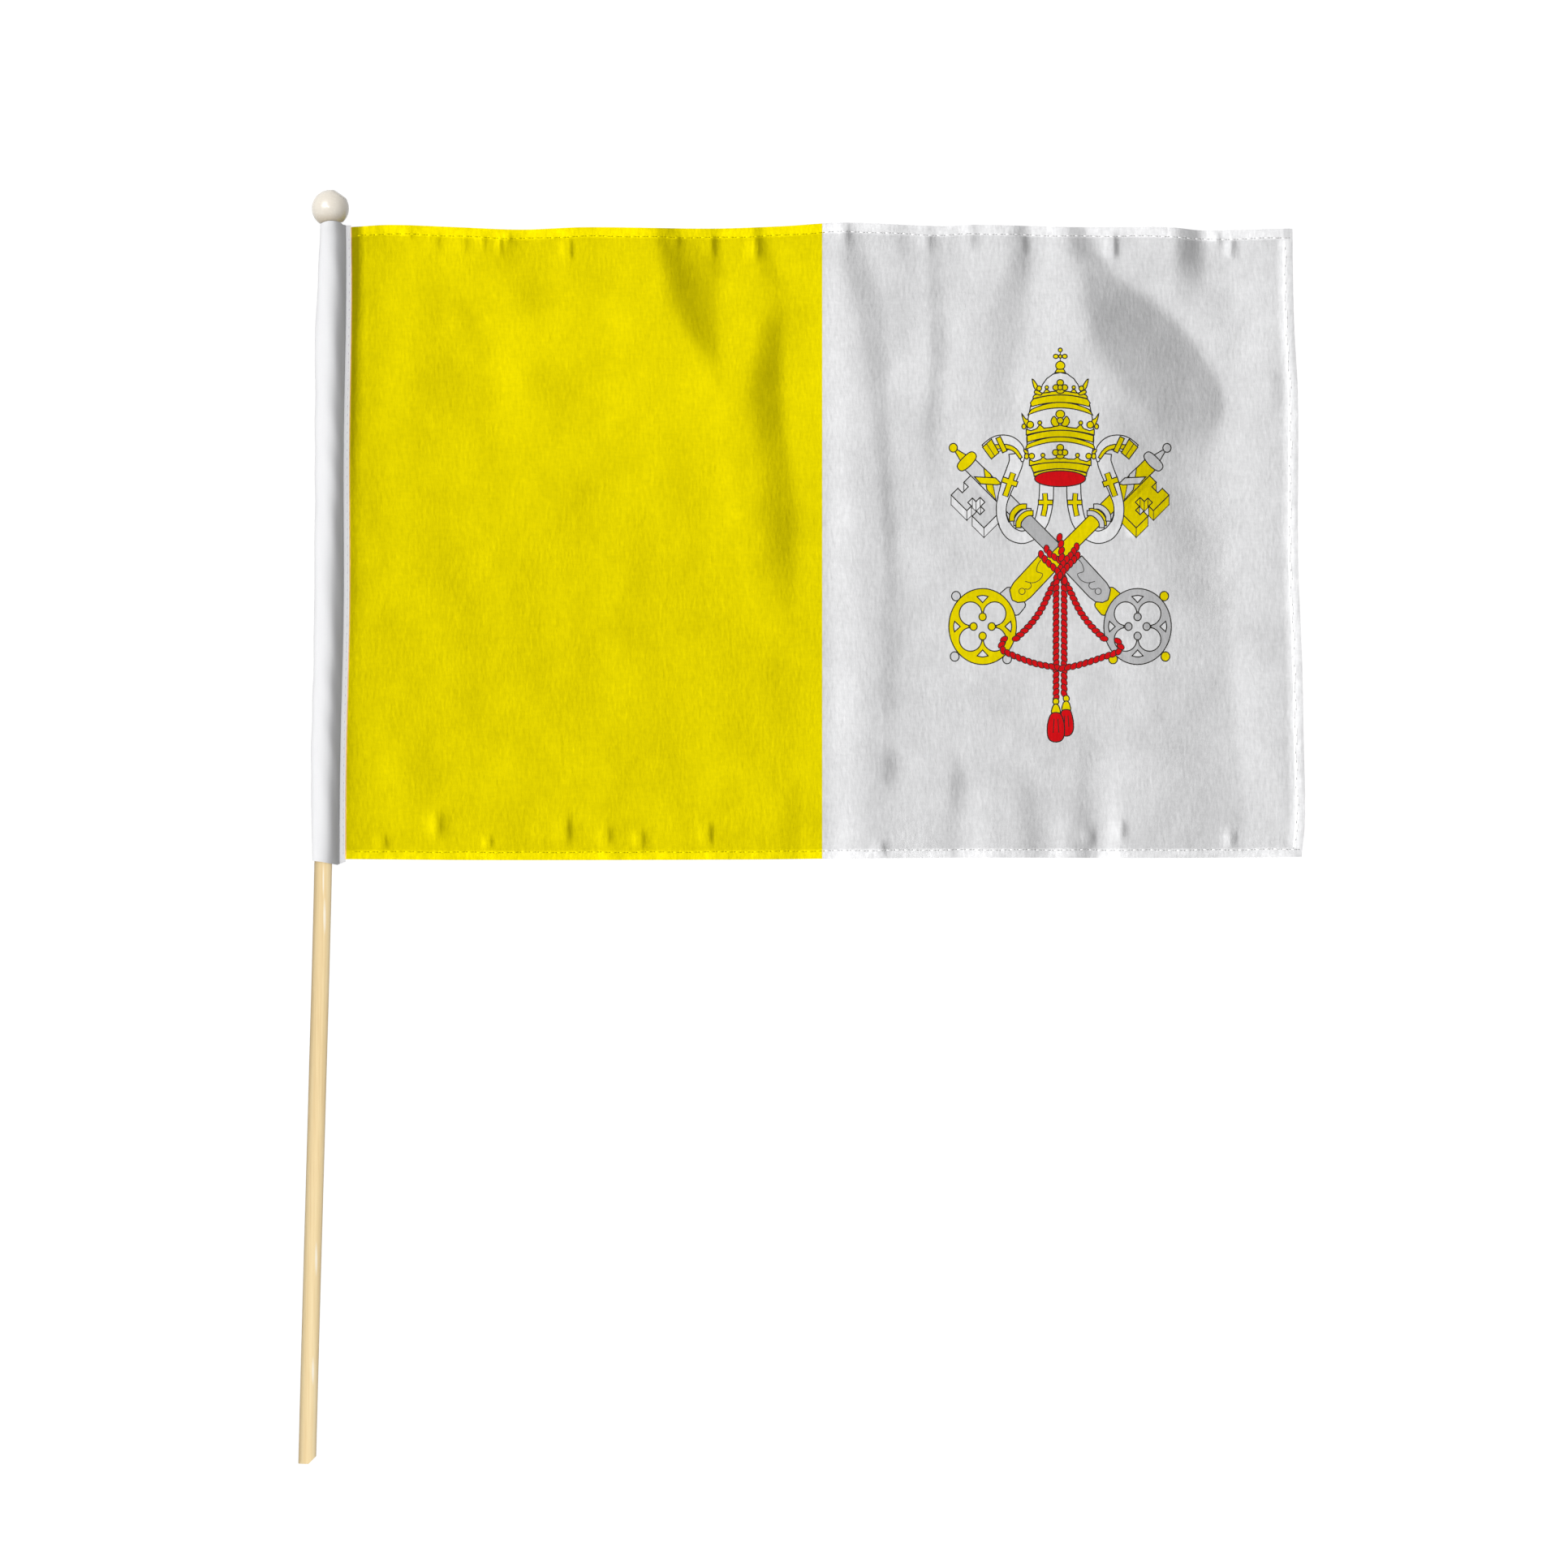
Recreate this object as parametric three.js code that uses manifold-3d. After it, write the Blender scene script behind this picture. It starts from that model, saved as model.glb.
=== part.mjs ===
// A hand flag on a wooden stick, lying face up on a table.
//
// Millimetres. +Z points up out of the flag's face, +Y runs along the stick to its ball tip and
// +X from the stick to the free (fly) edge. The origin is the middle of the bounding box, on the
// table.
//
// The pieces, as a maker would cut and fit them:
//   stick         a turned dowel with a slight bow and a foot cut off at a slant
//   ball_tip      a turned wooden ball with a blind socket, pressed on the dowel's end
//   hoist_sleeve  a white strip folded round the dowel and sewn to the flag by its flat margin
//   flag_cloth    the printed panel, hemmed at head, foot and fly, with its folds as it lies
//
// Places on the flag are measured from the middle of the ball: x to the right, down along the
// stick towards its foot.

import * as THREE from 'three';
import { mergeVertices } from 'three/addons/utils/BufferGeometryUtils.js';
import Module from 'manifold-3d';

const wasm = await Module();
wasm.setup();

// Driving dimensions

const GAP = 0.3; // between neighbouring pieces

const DOWEL = {
	radius: 4.2,
	length: 594, // from the middle of the ball to the foot
	intoBall: 1.7, // how far it goes on above the ball's middle
	sides: 20,
	axisHeightAtBall: 8.65,
	axisHeightAtFoot: 4.15,
	slantLength: 6, // of the oblique cut at the foot
};

// How far the dowel's axis stands aside of the ball's middle, the bow of a cheap dowel.
const DOWEL_BOW = [
	{ down: -DOWEL.intoBall, aside: 0.5 },
	{ down: 155, aside: -0.9 },
	{ down: 310, aside: -3.5 },
	{ down: 430, aside: -6.7 },
	{ down: 520, aside: -9.25 },
	{ down: DOWEL.length, aside: -11.2 },
];

const BALL = {
	radius: 8.8,
	bore: DOWEL.radius + GAP + 0.1, // of the blind socket
	shoulderRadius: 6.8, // where the round ends and the neck begins
	rimRadius: 5.9, // of the flat rim round the socket
	rimDown: 6.7, // from the ball's middle to that rim
	socketUp: 2.0, // from the ball's middle to the socket's end
	lean: 4 * Math.PI / 180, // the ball sits a little crooked on its stick
	around: 28,
};

const SLEEVE = {
	top: BALL.rimDown + BALL.rimRadius * Math.sin(BALL.lean) + GAP,
	bottom: 309.5,
	bore: DOWEL.radius + GAP,
	wall: 1.0,
	marginTop: -4.2, // top of the flat sewn margin, from the dowel's axis
	slack: 2.3, // how far the strip stands off the dowel on its left, halfway down
	arcSteps: 18,
	boreSteps: 16,
	lengthSteps: 20,
};

const CLOTH = {
	thickness: 1.0,
	hem: 4.5, // width of the turned hems
	hemExtra: 0.5, // the turned layer
	hemStep: 0.6, // over which the turned layer ends
	head: 8.5, // mean head edge, down from the ball's middle
	foot: 307.7, // mean foot edge
	columns: 50,
	rows: 33,
	seamLift: 0.15, // underside of the cloth above the underside of the sewn margin
	seamFall: 9, // how far from the seam the cloth has come down to the table
	settle: 0.8, // softens the line where a fold leaves the table
};

// The seam between the sleeve's margin and the cloth: it drifts left towards the foot and
// wanders a little with the stitching.
const SEAM = { start: 9.3, drift: -2.75, wander: 0.35, wanderLength: 150 };

// The head edge, up (-) or down (+) from its mean line.
const HEAD_EDGE = [
	{ x: 9, down: 0.0 }, { x: 28, down: -1.1 }, { x: 59, down: 0.0 }, { x: 90, down: 1.2 },
	{ x: 120, down: 0.1 }, { x: 180, down: 0.7 }, { x: 213, down: -0.4 }, { x: 243, down: -2.1 },
	{ x: 289, down: -0.4 }, { x: 305, down: -1.1 }, { x: 351, down: 0.0 }, { x: 397, down: 0.1 },
	{ x: 413, down: 1.5 }, { x: 456, down: 0.6 },
];

// The foot edge, the same way.
const FOOT_EDGE = [
	{ x: 6, down: 0.2 }, { x: 80, down: 0.7 }, { x: 200, down: 0.4 }, { x: 236, down: 0.0 },
	{ x: 300, down: -0.5 }, { x: 400, down: -0.4 }, { x: 461, down: -0.9 },
];

// The fly edge.
const FLY_EDGE = [
	{ down: 8, x: 455.5 }, { down: 50, x: 456.1 }, { down: 89, x: 458.1 },
	{ down: 166, x: 458.2 }, { down: 212, x: 460.0 }, { down: 250, x: 460.8 },
	{ down: 289, x: 461.5 }, { down: 307, x: 459.9 },
];

// The folds. Each is a soft ridge along its crest, which rises over the width "rise" on its left
// and falls over the width "fall" on its right, both for its first and its last point.
const FOLDS = [
	{ crest: [[151, 6], [156, 35], [164, 51], [184, 82]], height: 3.4, rise: [45, 30], fall: [30, 8] },
	{ crest: [[201, 6], [204, 36], [212, 50]], height: 1.6, rise: [14, 12], fall: [10, 8] },
	{ crest: [[195, 38], [199, 100], [202, 147], [220, 190]], height: 3.3, rise: [36, 22], fall: [20, 8] },
	{ crest: [[62, 36], [92, 63], [122, 38]], height: 1.3, rise: [14, 14], fall: [14, 14] },
	{ crest: [[134, 100], [112, 130], [88, 164]], height: 1.2, rise: [22, 22], fall: [24, 24] },
	{ crest: [[240, 8], [253, 74], [256, 120], [262, 200], [262, 272]], height: 2.6, rise: [18, 22], fall: [20, 8] },
	{ crest: [[278, 6], [280, 78]], height: 1.5, rise: [14, 14], fall: [12, 12] },
	{ crest: [[321, 5], [326, 36]], height: 1.7, rise: [16, 14], fall: [13, 10] },
	{ crest: [[304, 42], [320, 76]], height: 1.8, rise: [22, 22], fall: [22, 18] },
	{ crest: [[360, 34], [370, 74], [382, 94], [400, 120]], height: 4.2, rise: [34, 30], fall: [30, 24] },
	{ crest: [[398, 6], [399, 40]], height: 1.8, rise: [15, 14], fall: [14, 12] },
	{ crest: [[450, 26], [451, 90]], height: 1.6, rise: [16, 16], fall: [7, 7] },
	{ crest: [[398, 128], [394, 200], [390, 306]], height: 1.9, rise: [26, 26], fall: [38, 34] },
	{ crest: [[446, 120], [444, 306]], height: 1.7, rise: [12, 14], fall: [16, 14] },
	{ crest: [[348, 236], [350, 306]], height: 1.4, rise: [18, 18], fall: [13, 13] },
	{ crest: [[322, 266], [328, 308]], height: 1.6, rise: [14, 14], fall: [14, 12] },
	{ crest: [[200, 198], [201, 240]], height: 1.2, rise: [22, 22], fall: [16, 14] },
	{ crest: [[219, 270], [213, 308]], height: 1.4, rise: [14, 12], fall: [8, 8] },
	{ crest: [[60, 296], [66, 309]], height: 1.3, rise: [14, 12], fall: [12, 10] },
];

// The bow, the seam and the edges as functions

// A smooth curve through a short table, read at one value of its "from" column.
function readTable(table, from, to, at) {
	const last = table.length - 1;
	let i = 0;
	while (i < last - 1 && at > table[i + 1][from]) i++;
	const here = table[i], next = table[i + 1];
	const span = next[from] - here[from];
	const slope = (a, b) => (b[to] - a[to]) / (b[from] - a[from]);
	const before = table[Math.max(i - 1, 0)], after = table[Math.min(i + 2, last)];
	const slopeHere = slope(before, next) * span, slopeNext = slope(here, after) * span;
	const t = THREE.MathUtils.clamp((at - here[from]) / span, 0, 1);
	const t2 = t * t, t3 = t2 * t;
	return (2 * t3 - 3 * t2 + 1) * here[to] + (t3 - 2 * t2 + t) * slopeHere
		+ (3 * t2 - 2 * t3) * next[to] + (t3 - t2) * slopeNext;
}

function dowelAside(down) {
	return readTable(DOWEL_BOW, 'down', 'aside', down);
}

function dowelHeight(down) {
	return THREE.MathUtils.lerp(DOWEL.axisHeightAtBall, DOWEL.axisHeightAtFoot, down / DOWEL.length);
}

function seamX(down) {
	const share = down / SLEEVE.bottom;
	const wander = SEAM.wander * Math.sin(2 * Math.PI * down / SEAM.wanderLength);
	return SEAM.start + SEAM.drift * share * share + wander;
}

// Solids from geometries

function toManifold(geometry) {
	const bare = new THREE.BufferGeometry();
	bare.setAttribute('position', geometry.getAttribute('position').clone());
	if (geometry.index) bare.setIndex(geometry.index.clone());
	const merged = mergeVertices(bare, 1e-4);
	return new wasm.Manifold(new wasm.Mesh({
		numProp: 3,
		vertProperties: new Float32Array(merged.getAttribute('position').array),
		triVerts: new Uint32Array(merged.index.array),
	}));
}

function fromManifold(solid) {
	const mesh = solid.getMesh();
	const geometry = new THREE.BufferGeometry();
	geometry.setAttribute('position', new THREE.BufferAttribute(mesh.vertProperties, 3));
	geometry.setIndex(new THREE.BufferAttribute(mesh.triVerts, 1));
	return geometry;
}

function shaded(geometry) {
	const flat = geometry.index ? geometry.toNonIndexed() : geometry;
	flat.computeVertexNormals();
	return flat;
}

// A block below the table: what it takes off leaves the small flat that a piece rests on.
function belowTable() {
	const size = 2 * DOWEL.length;
	return toManifold(new THREE.BoxGeometry(size, 3 * size, size).translate(0, 0, -size / 2));
}

// Extruded sections run down the dowel: (u, w, down) becomes a place beside its bowed axis.
function alongDowel(geometry, shift) {
	const position = geometry.getAttribute('position');
	for (let i = 0; i < position.count; i++) {
		const down = position.getZ(i);
		const [u, w] = shift(position.getX(i), position.getY(i), down);
		position.setXYZ(i, dowelAside(down) + u, -down, dowelHeight(down) + w);
	}
	return geometry;
}

// The pieces

function makeStick() {
	const section = new THREE.Shape().absarc(0, 0, DOWEL.radius, 0, 2 * Math.PI, false);
	const length = DOWEL.length + DOWEL.intoBall;
	const rod = new THREE.ExtrudeGeometry(section, {
		depth: length, steps: 22, curveSegments: DOWEL.sides, bevelEnabled: false,
	}).translate(0, 0, -DOWEL.intoBall);
	const bent = toManifold(alongDowel(rod, (u, w) => [u, w]));

	// The slanting cut takes the right half of the foot away.
	const reach = 4 * DOWEL.radius;
	const slant = Math.atan2(DOWEL.slantLength, DOWEL.radius);
	const cutter = new THREE.BoxGeometry(reach, reach, reach)
		.translate(reach / 2, -reach / 2, 0)
		.rotateZ(slant)
		.translate(dowelAside(DOWEL.length) + 0.2 * DOWEL.radius, -DOWEL.length, dowelHeight(DOWEL.length));
	return fromManifold(bent.subtract(toManifold(cutter)).subtract(belowTable()));
}

function makeBall() {
	// The ball's profile from the flat rim round the socket up to its top.
	const steps = 14;
	const lowest = -Math.acos(BALL.shoulderRadius / BALL.radius);
	const profile = [new THREE.Vector2(0, -BALL.rimDown), new THREE.Vector2(BALL.rimRadius, -BALL.rimDown)];
	for (let i = 0; i < steps; i++) {
		const angle = THREE.MathUtils.lerp(lowest, Math.PI / 2, i / steps);
		profile.push(new THREE.Vector2(BALL.radius * Math.cos(angle), BALL.radius * Math.sin(angle)));
	}
	profile.push(new THREE.Vector2(0, BALL.radius));
	const turned = new THREE.LatheGeometry(profile, BALL.around)
		.rotateZ(BALL.lean)
		.translate(0, 0, DOWEL.axisHeightAtBall);

	// The blind socket follows the dowel's end.
	const reach = 2 * BALL.rimDown;
	const socket = new THREE.CylinderGeometry(BALL.bore, BALL.bore, reach, BALL.around)
		.translate(dowelAside(0), BALL.socketUp - reach / 2, DOWEL.axisHeightAtBall);
	return fromManifold(toManifold(turned).subtract(toManifold(socket)).subtract(belowTable()));
}

function makeSleeve() {
	const outer = SLEEVE.bore + SLEEVE.wall;
	const leaves = Math.asin(SLEEVE.marginTop / outer);
	const marginEnd = 10;
	const section = new THREE.Shape();
	for (let i = 0; i <= SLEEVE.arcSteps; i++) {
		const angle = THREE.MathUtils.lerp(leaves, 1.5 * Math.PI, i / SLEEVE.arcSteps);
		section[i ? 'lineTo' : 'moveTo'](outer * Math.cos(angle), outer * Math.sin(angle));
	}
	section.lineTo(marginEnd, -outer);
	section.lineTo(marginEnd, SLEEVE.marginTop);
	section.closePath();
	const bore = new THREE.Path();
	for (let i = 0; i < SLEEVE.boreSteps; i++) {
		const angle = -2 * Math.PI * i / SLEEVE.boreSteps;
		bore[i ? 'lineTo' : 'moveTo'](SLEEVE.bore * Math.cos(angle), SLEEVE.bore * Math.sin(angle));
	}
	bore.closePath();
	section.holes.push(bore);

	const length = SLEEVE.bottom - SLEEVE.top;
	const tube = new THREE.ExtrudeGeometry(section, {
		depth: length, steps: SLEEVE.lengthSteps, bevelEnabled: false,
	}).translate(0, 0, SLEEVE.top);
	const marginStart = outer * Math.cos(leaves);
	return alongDowel(tube, (u, w, down) => {
		const share = (down - SLEEVE.top) / length;
		const slack = SLEEVE.slack * Math.pow(Math.sin(Math.PI * share), 0.8);
		if (u < 0) return [u * (1 + slack / outer), w];
		if (u <= marginStart) return [u, w];
		const marginWidth = seamX(down) - dowelAside(down) - marginStart;
		return [marginStart + (u - marginStart) * marginWidth / (marginEnd - marginStart), w];
	});
}

// Height of one fold over the table at (x, down).
function foldHeight(fold, x, down) {
	let nearest = Infinity, height = 0;
	const { crest } = fold;
	for (let i = 0; i < crest.length - 1; i++) {
		const [x0, d0] = crest[i], [x1, d1] = crest[i + 1];
		const alongX = x1 - x0, alongD = d1 - d0;
		const length = Math.hypot(alongX, alongD);
		const t = THREE.MathUtils.clamp(((x - x0) * alongX + (down - d0) * alongD) / length ** 2, 0, 1);
		const offX = x - (x0 + t * alongX), offD = down - (d0 + t * alongD);
		const distance = Math.hypot(offX, offD);
		if (distance >= nearest) continue;
		nearest = distance;
		const share = (i + t) / (crest.length - 1);
		// To the right of the crest when it runs down the flag.
		const right = (offX * alongD - offD * alongX) >= 0;
		const widths = right ? fold.fall : fold.rise;
		const width = THREE.MathUtils.lerp(widths[0], widths[1], share);
		const across = Math.min(distance / width, 1);
		height = fold.height * (0.5 + 0.5 * Math.cos(Math.PI * across));
	}
	return height;
}

// Underside of the cloth over the table.
function clothHeight(x, down) {
	const seamHeight = dowelHeight(down) - SLEEVE.bore - SLEEVE.wall + CLOTH.seamLift;
	const fromSeam = Math.max(x - seamX(down) - GAP, 0);
	const fall = Math.min(fromSeam / CLOTH.seamFall, 1);
	const base = seamHeight * (0.5 + 0.5 * Math.cos(Math.PI * fall));
	const folds = FOLDS.reduce((sum, fold) => sum + foldHeight(fold, x, down), 0);
	const lifted = folds * Math.min(fromSeam / 20, 1);
	return base + lifted * lifted / (lifted + CLOTH.settle);
}

function makeCloth() {
	const { columns, rows, hem, hemStep } = CLOTH;

	// Grid lines: two at each hem, the others evenly between them.
	const line = (index, count, size, hemAtStart) => {
		const inset = hem + hemStep;
		const lead = hemAtStart ? [0, hem, inset] : [0];
		const tail = [size - inset, size - hem, size];
		const even = count - lead.length - tail.length + 2;
		if (index < lead.length) return lead[index];
		if (index > count - tail.length) return tail[index - (count + 1 - tail.length)];
		const start = lead[lead.length - 1];
		return THREE.MathUtils.lerp(start, tail[0], (index - lead.length + 1) / even);
	};
	const width = 450, height = CLOTH.foot - CLOTH.head;
	const sheet = new THREE.BoxGeometry(1, 1, 1, columns, rows, 1);
	const position = sheet.getAttribute('position');
	for (let i = 0; i < position.count; i++) {
		const column = Math.round((position.getX(i) + 0.5) * columns);
		const row = Math.round((0.5 - position.getY(i)) * rows);
		const top = position.getZ(i) > 0;
		const across = line(column, columns, width, false) / width;
		const downShare = line(row, rows, height, true) / height;
		const level = THREE.MathUtils.lerp(CLOTH.head, CLOTH.foot, downShare);
		const left = seamX(level) + GAP;
		const x = THREE.MathUtils.lerp(left, readTable(FLY_EDGE, 'down', 'x', level), across);
		const headEdge = CLOTH.head + readTable(HEAD_EDGE, 'x', 'down', x);
		const footEdge = CLOTH.foot + readTable(FOOT_EDGE, 'x', 'down', x);
		const down = THREE.MathUtils.lerp(headEdge, footEdge, downShare);
		const inHem = Math.min(downShare * height, (1 - downShare) * height, (1 - across) * width);
		const hemLayer = inHem <= hem + 1e-6 ? CLOTH.hemExtra : 0;
		const thickness = top ? CLOTH.thickness + hemLayer : 0;
		position.setXYZ(i, x, -down, clothHeight(x, down) + thickness);
	}
	return sheet;
}

// Assembly

const MATERIALS = {
	pale_wood: { color: 0xf2dcae, roughness: 0.6 },
	ivory_lacquer: { color: 0xe9e0cf, roughness: 0.25 },
	white_cloth: { color: 0xf2f2f2, roughness: 0.75 },
	printed_cloth: { color: 0xe8d700, roughness: 0.7 },
};

const flag = new THREE.Group();
flag.name = 'stick_flag';

function add(name, geometry, material) {
	const mesh = new THREE.Mesh(shaded(geometry), new THREE.MeshStandardMaterial({
		...MATERIALS[material], metalness: 0,
	}));
	mesh.name = name;
	flag.add(mesh);
}

add('stick', makeStick(), 'pale_wood');
add('ball_tip', makeBall(), 'ivory_lacquer');
add('hoist_sleeve', makeSleeve(), 'white_cloth');
add('flag_cloth', makeCloth(), 'printed_cloth');

// The origin goes to the middle of the bounding box, on the table.
const box = new THREE.Box3().setFromObject(flag);
const middle = box.getCenter(new THREE.Vector3());
flag.position.set(-middle.x, -middle.y, -box.min.z);
flag.updateMatrixWorld(true);

export default flag;
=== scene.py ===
# A hand flag of printed cloth on a wooden stick, lying face up on a pale table.

import math

import bmesh
import bpy
import numpy as np
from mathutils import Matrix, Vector
from mathutils.geometry import delaunay_2d_cdt


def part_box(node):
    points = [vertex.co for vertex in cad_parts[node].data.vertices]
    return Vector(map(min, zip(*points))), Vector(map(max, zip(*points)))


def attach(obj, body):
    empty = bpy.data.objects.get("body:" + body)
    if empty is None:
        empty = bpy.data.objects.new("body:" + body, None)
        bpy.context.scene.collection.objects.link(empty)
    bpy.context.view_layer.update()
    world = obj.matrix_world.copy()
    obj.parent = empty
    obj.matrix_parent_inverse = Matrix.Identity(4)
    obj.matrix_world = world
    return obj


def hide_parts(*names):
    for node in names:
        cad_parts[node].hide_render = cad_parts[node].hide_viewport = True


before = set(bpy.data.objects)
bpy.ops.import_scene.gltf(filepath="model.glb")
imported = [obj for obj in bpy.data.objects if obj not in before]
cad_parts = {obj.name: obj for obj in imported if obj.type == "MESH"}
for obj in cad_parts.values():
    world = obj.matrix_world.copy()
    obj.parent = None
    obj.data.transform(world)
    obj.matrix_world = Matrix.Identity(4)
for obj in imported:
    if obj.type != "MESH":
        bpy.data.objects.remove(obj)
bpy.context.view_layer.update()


# Table, light and camera
# A wide pale board carries the flag. Low light comes from the left, so that every fold shows, an
# even room light fills it from above, and the camera hangs straight over the flag's face.

# Places are measured in millimetres from the middle of the ball: x to the right, down along the
# stick towards its foot, and height above the table.
BALL_RADIUS = 8.8
ball_low, ball_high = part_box("ball_tip")
BALL_X = (ball_low.x + ball_high.x) / 2
BALL_Y = ball_high.y - BALL_RADIUS / 1000


def place(x, down, height):
    return Vector((BALL_X + x / 1000, BALL_Y - down / 1000, height / 1000))


class Wire:
    """An output of a material's nodes. Sums and products on it add their Math nodes."""

    def __init__(self, finish, socket):
        self.finish, self.socket = finish, socket

    def maths(self, operation, *values):
        return self.finish.node("ShaderNodeMath", {"operation": operation}, dict(enumerate(values)))

    def __add__(self, other):
        return self.maths("ADD", self, other)

    def __sub__(self, other):
        return self.maths("SUBTRACT", self, other)

    def __rsub__(self, other):
        return self.maths("SUBTRACT", other, self)

    def __mul__(self, other):
        return self.maths("MULTIPLY", self, other)

    def __truediv__(self, other):
        return self.maths("DIVIDE", self, other)

    def __pow__(self, other):
        return self.maths("POWER", self, other)

    __radd__, __rmul__ = __add__, __mul__


class Finish:
    """A material whose nodes are added one by one, each with its settings and its sockets."""

    def __init__(self, name):
        self.material = bpy.data.materials.new(name)
        self.material.use_nodes = True
        self.tree = self.material.node_tree
        self.tree.nodes.clear()
        output = self.tree.nodes.new("ShaderNodeOutputMaterial")
        self.shader = self.tree.nodes.new("ShaderNodeBsdfPrincipled")
        self.tree.links.new(self.shader.outputs[0], output.inputs["Surface"])

    def put(self, socket, value):
        if isinstance(value, Wire):
            self.tree.links.new(value.socket, socket)
        else:
            socket.default_value = value

    def node(self, kind, settings=None, sockets=None, output=0):
        added = self.tree.nodes.new(kind)
        for name, value in (settings or {}).items():
            if name == "stops":
                ramp = added.color_ramp
                while len(ramp.elements) < len(value):
                    ramp.elements.new(0.5)
                for element, (at, colour) in zip(ramp.elements, value):
                    element.position, element.color = at, colour
            else:
                setattr(added, name, value)
        for name, value in (sockets or {}).items():
            self.put(added.inputs[name], value)
        return Wire(self, added.outputs[output])

    def places(self):
        return self.node("ShaderNodeTexCoord", output="Object")

    def stretched(self, scale):
        """Object coordinates, stretched: features of a noise are 1/scale metres long."""
        return self.node("ShaderNodeMapping", None, {"Vector": self.places(), "Scale": scale})

    def noise(self, scale, detail=2.0):
        return self.node("ShaderNodeTexNoise", None,
                         {"Vector": self.stretched(scale), "Scale": 1.0, "Detail": detail})

    def mix(self, factor, first, second, blend="MIX"):
        return self.node("ShaderNodeMix", {"data_type": "RGBA", "blend_type": blend},
                         {0: factor, 6: first, 7: second}, output=2)

    def bump(self, height, distance, strength=1.0):
        return self.node("ShaderNodeBump", None,
                         {"Height": height, "Distance": distance, "Strength": strength})

    def surface(self, **sockets):
        for name, value in sockets.items():
            self.put(self.shader.inputs[name.replace("_", " ")], value)
        return self.material


FLAT_LIGHT = 1.046  # how bright a white sheet lies in this light


def colour(red, green, blue):
    """A colour as it looks under the table's light, on the usual scale from 0 to 255."""
    linear = [(c / 255 / 12.92) if c < 11 else ((c / 255 + 0.055) / 1.055) ** 2.4
              for c in (red, green, blue)]
    return (*[c / FLAT_LIGHT for c in linear], 1.0)


FRAME_WIDTH = 743.1  # millimetres that the picture is wide
FRAME_MIDDLE = (214.6, 272.3)  # x and down of the picture's middle
CAMERA_HEIGHT = 5000.0
SENSOR = 36.0
camera_data = bpy.data.cameras.new("camera")
camera_data.sensor_width = SENSOR
camera_data.lens = SENSOR * CAMERA_HEIGHT / FRAME_WIDTH
camera = bpy.data.objects.new("camera", camera_data)
camera.location = place(*FRAME_MIDDLE, CAMERA_HEIGHT)
bpy.context.scene.collection.objects.link(camera)
bpy.context.scene.camera = camera

ROOM_SHARE = 0.5
# Each piece has its own share of the light, as if a photographer had shaded it: low over the
# cloth, to show its folds, and higher on the round pieces. The table alone blocks it.
LIGHTS = {"cloth": {"side": (-1, 0), "degrees_up": 9, "share": 0.546, "wide": 4},
          "sleeve": {"side": (-1, 0.1), "degrees_up": 47, "share": 0.52, "wide": 25},
          "stick": {"side": (0.2, 0.6), "degrees_up": 76, "share": 0.55, "wide": 30},
          "ball": {"side": (-0.8, 0.5), "degrees_up": 52, "share": 0.55, "wide": 40}}
room_lights = {}
table_alone = bpy.data.collections.new("table_alone")
for name, light in LIGHTS.items():
    up = math.radians(light["degrees_up"])
    sun_data = bpy.data.lights.new(name, "SUN")
    sun_data.energy = light["share"] * math.pi / math.sin(up)
    sun_data.angle = math.radians(light["wide"])
    sun = bpy.data.objects.new(name + "_light", sun_data)
    towards = Vector(light["side"]).normalized().to_3d() * math.cos(up)
    towards.z = math.sin(up)
    sun.rotation_mode = "QUATERNION"
    sun.rotation_quaternion = towards.to_track_quat("Z", "Y")
    room_lights[name] = bpy.data.collections.new(name + "_lit")
    sun.visible_glossy = name != "cloth"  # at its low angle it would glare from the fly's side
    sun.light_linking.receiver_collection = room_lights[name]
    sun.light_linking.blocker_collection = table_alone
    bpy.context.scene.collection.objects.link(sun)

# The room lights everything evenly from above, and nothing throws its colour on its neighbour.
room = bpy.data.worlds.new("room")
room.use_nodes = True
sky = room.node_tree
way = sky.nodes.new("ShaderNodeTexCoord")
split = sky.nodes.new("ShaderNodeSeparateXYZ")
above = sky.nodes.new("ShaderNodeMath")
above.operation = "GREATER_THAN"
above.inputs[1].default_value = 0.0
sky.links.new(way.outputs["Generated"], split.inputs[0])
sky.links.new(split.outputs["Z"], above.inputs[0])
sky.links.new(above.outputs[0], sky.nodes["Background"].inputs["Color"])
sky.nodes["Background"].inputs["Strength"].default_value = ROOM_SHARE
bpy.context.scene.world = room
bpy.context.scene.cycles.diffuse_bounces = 0
bpy.context.scene.view_settings.view_transform = "Standard"

TABLE_WIDTH, TABLE_DROP = 40, 0.00002  # metres; it lies just under what rests on it
TABLE_GREY, TABLE_GLOW = 0.3, 0.94
bpy.ops.object.select_all(action="DESELECT")
bpy.ops.mesh.primitive_plane_add(size=TABLE_WIDTH, location=(0, 0, -TABLE_DROP))
table = bpy.context.object
table.name = "table"
table_finish = Finish("table_white")
table.data.materials.append(table_finish.surface(
    Base_Color=(TABLE_GREY, TABLE_GREY, TABLE_GREY, 1), Roughness=0.9,
    Emission_Color=(1, 1, 1, 1), Emission_Strength=TABLE_GLOW))
table.visible_diffuse = False
table_alone.objects.link(table)


# Stick
# A softwood dowel of 8.4 mm, turned and sanded but left bare, with the slight bow of a cheap
# one. Its foot is cut off square on the left and slantwise on the right.

DOWEL_RADIUS = 4.2
DOWEL_LENGTH = 594.0
DOWEL_IN_BALL = 1.7
AXIS_AT_BALL, AXIS_AT_FOOT = 8.65, 4.22
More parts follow.
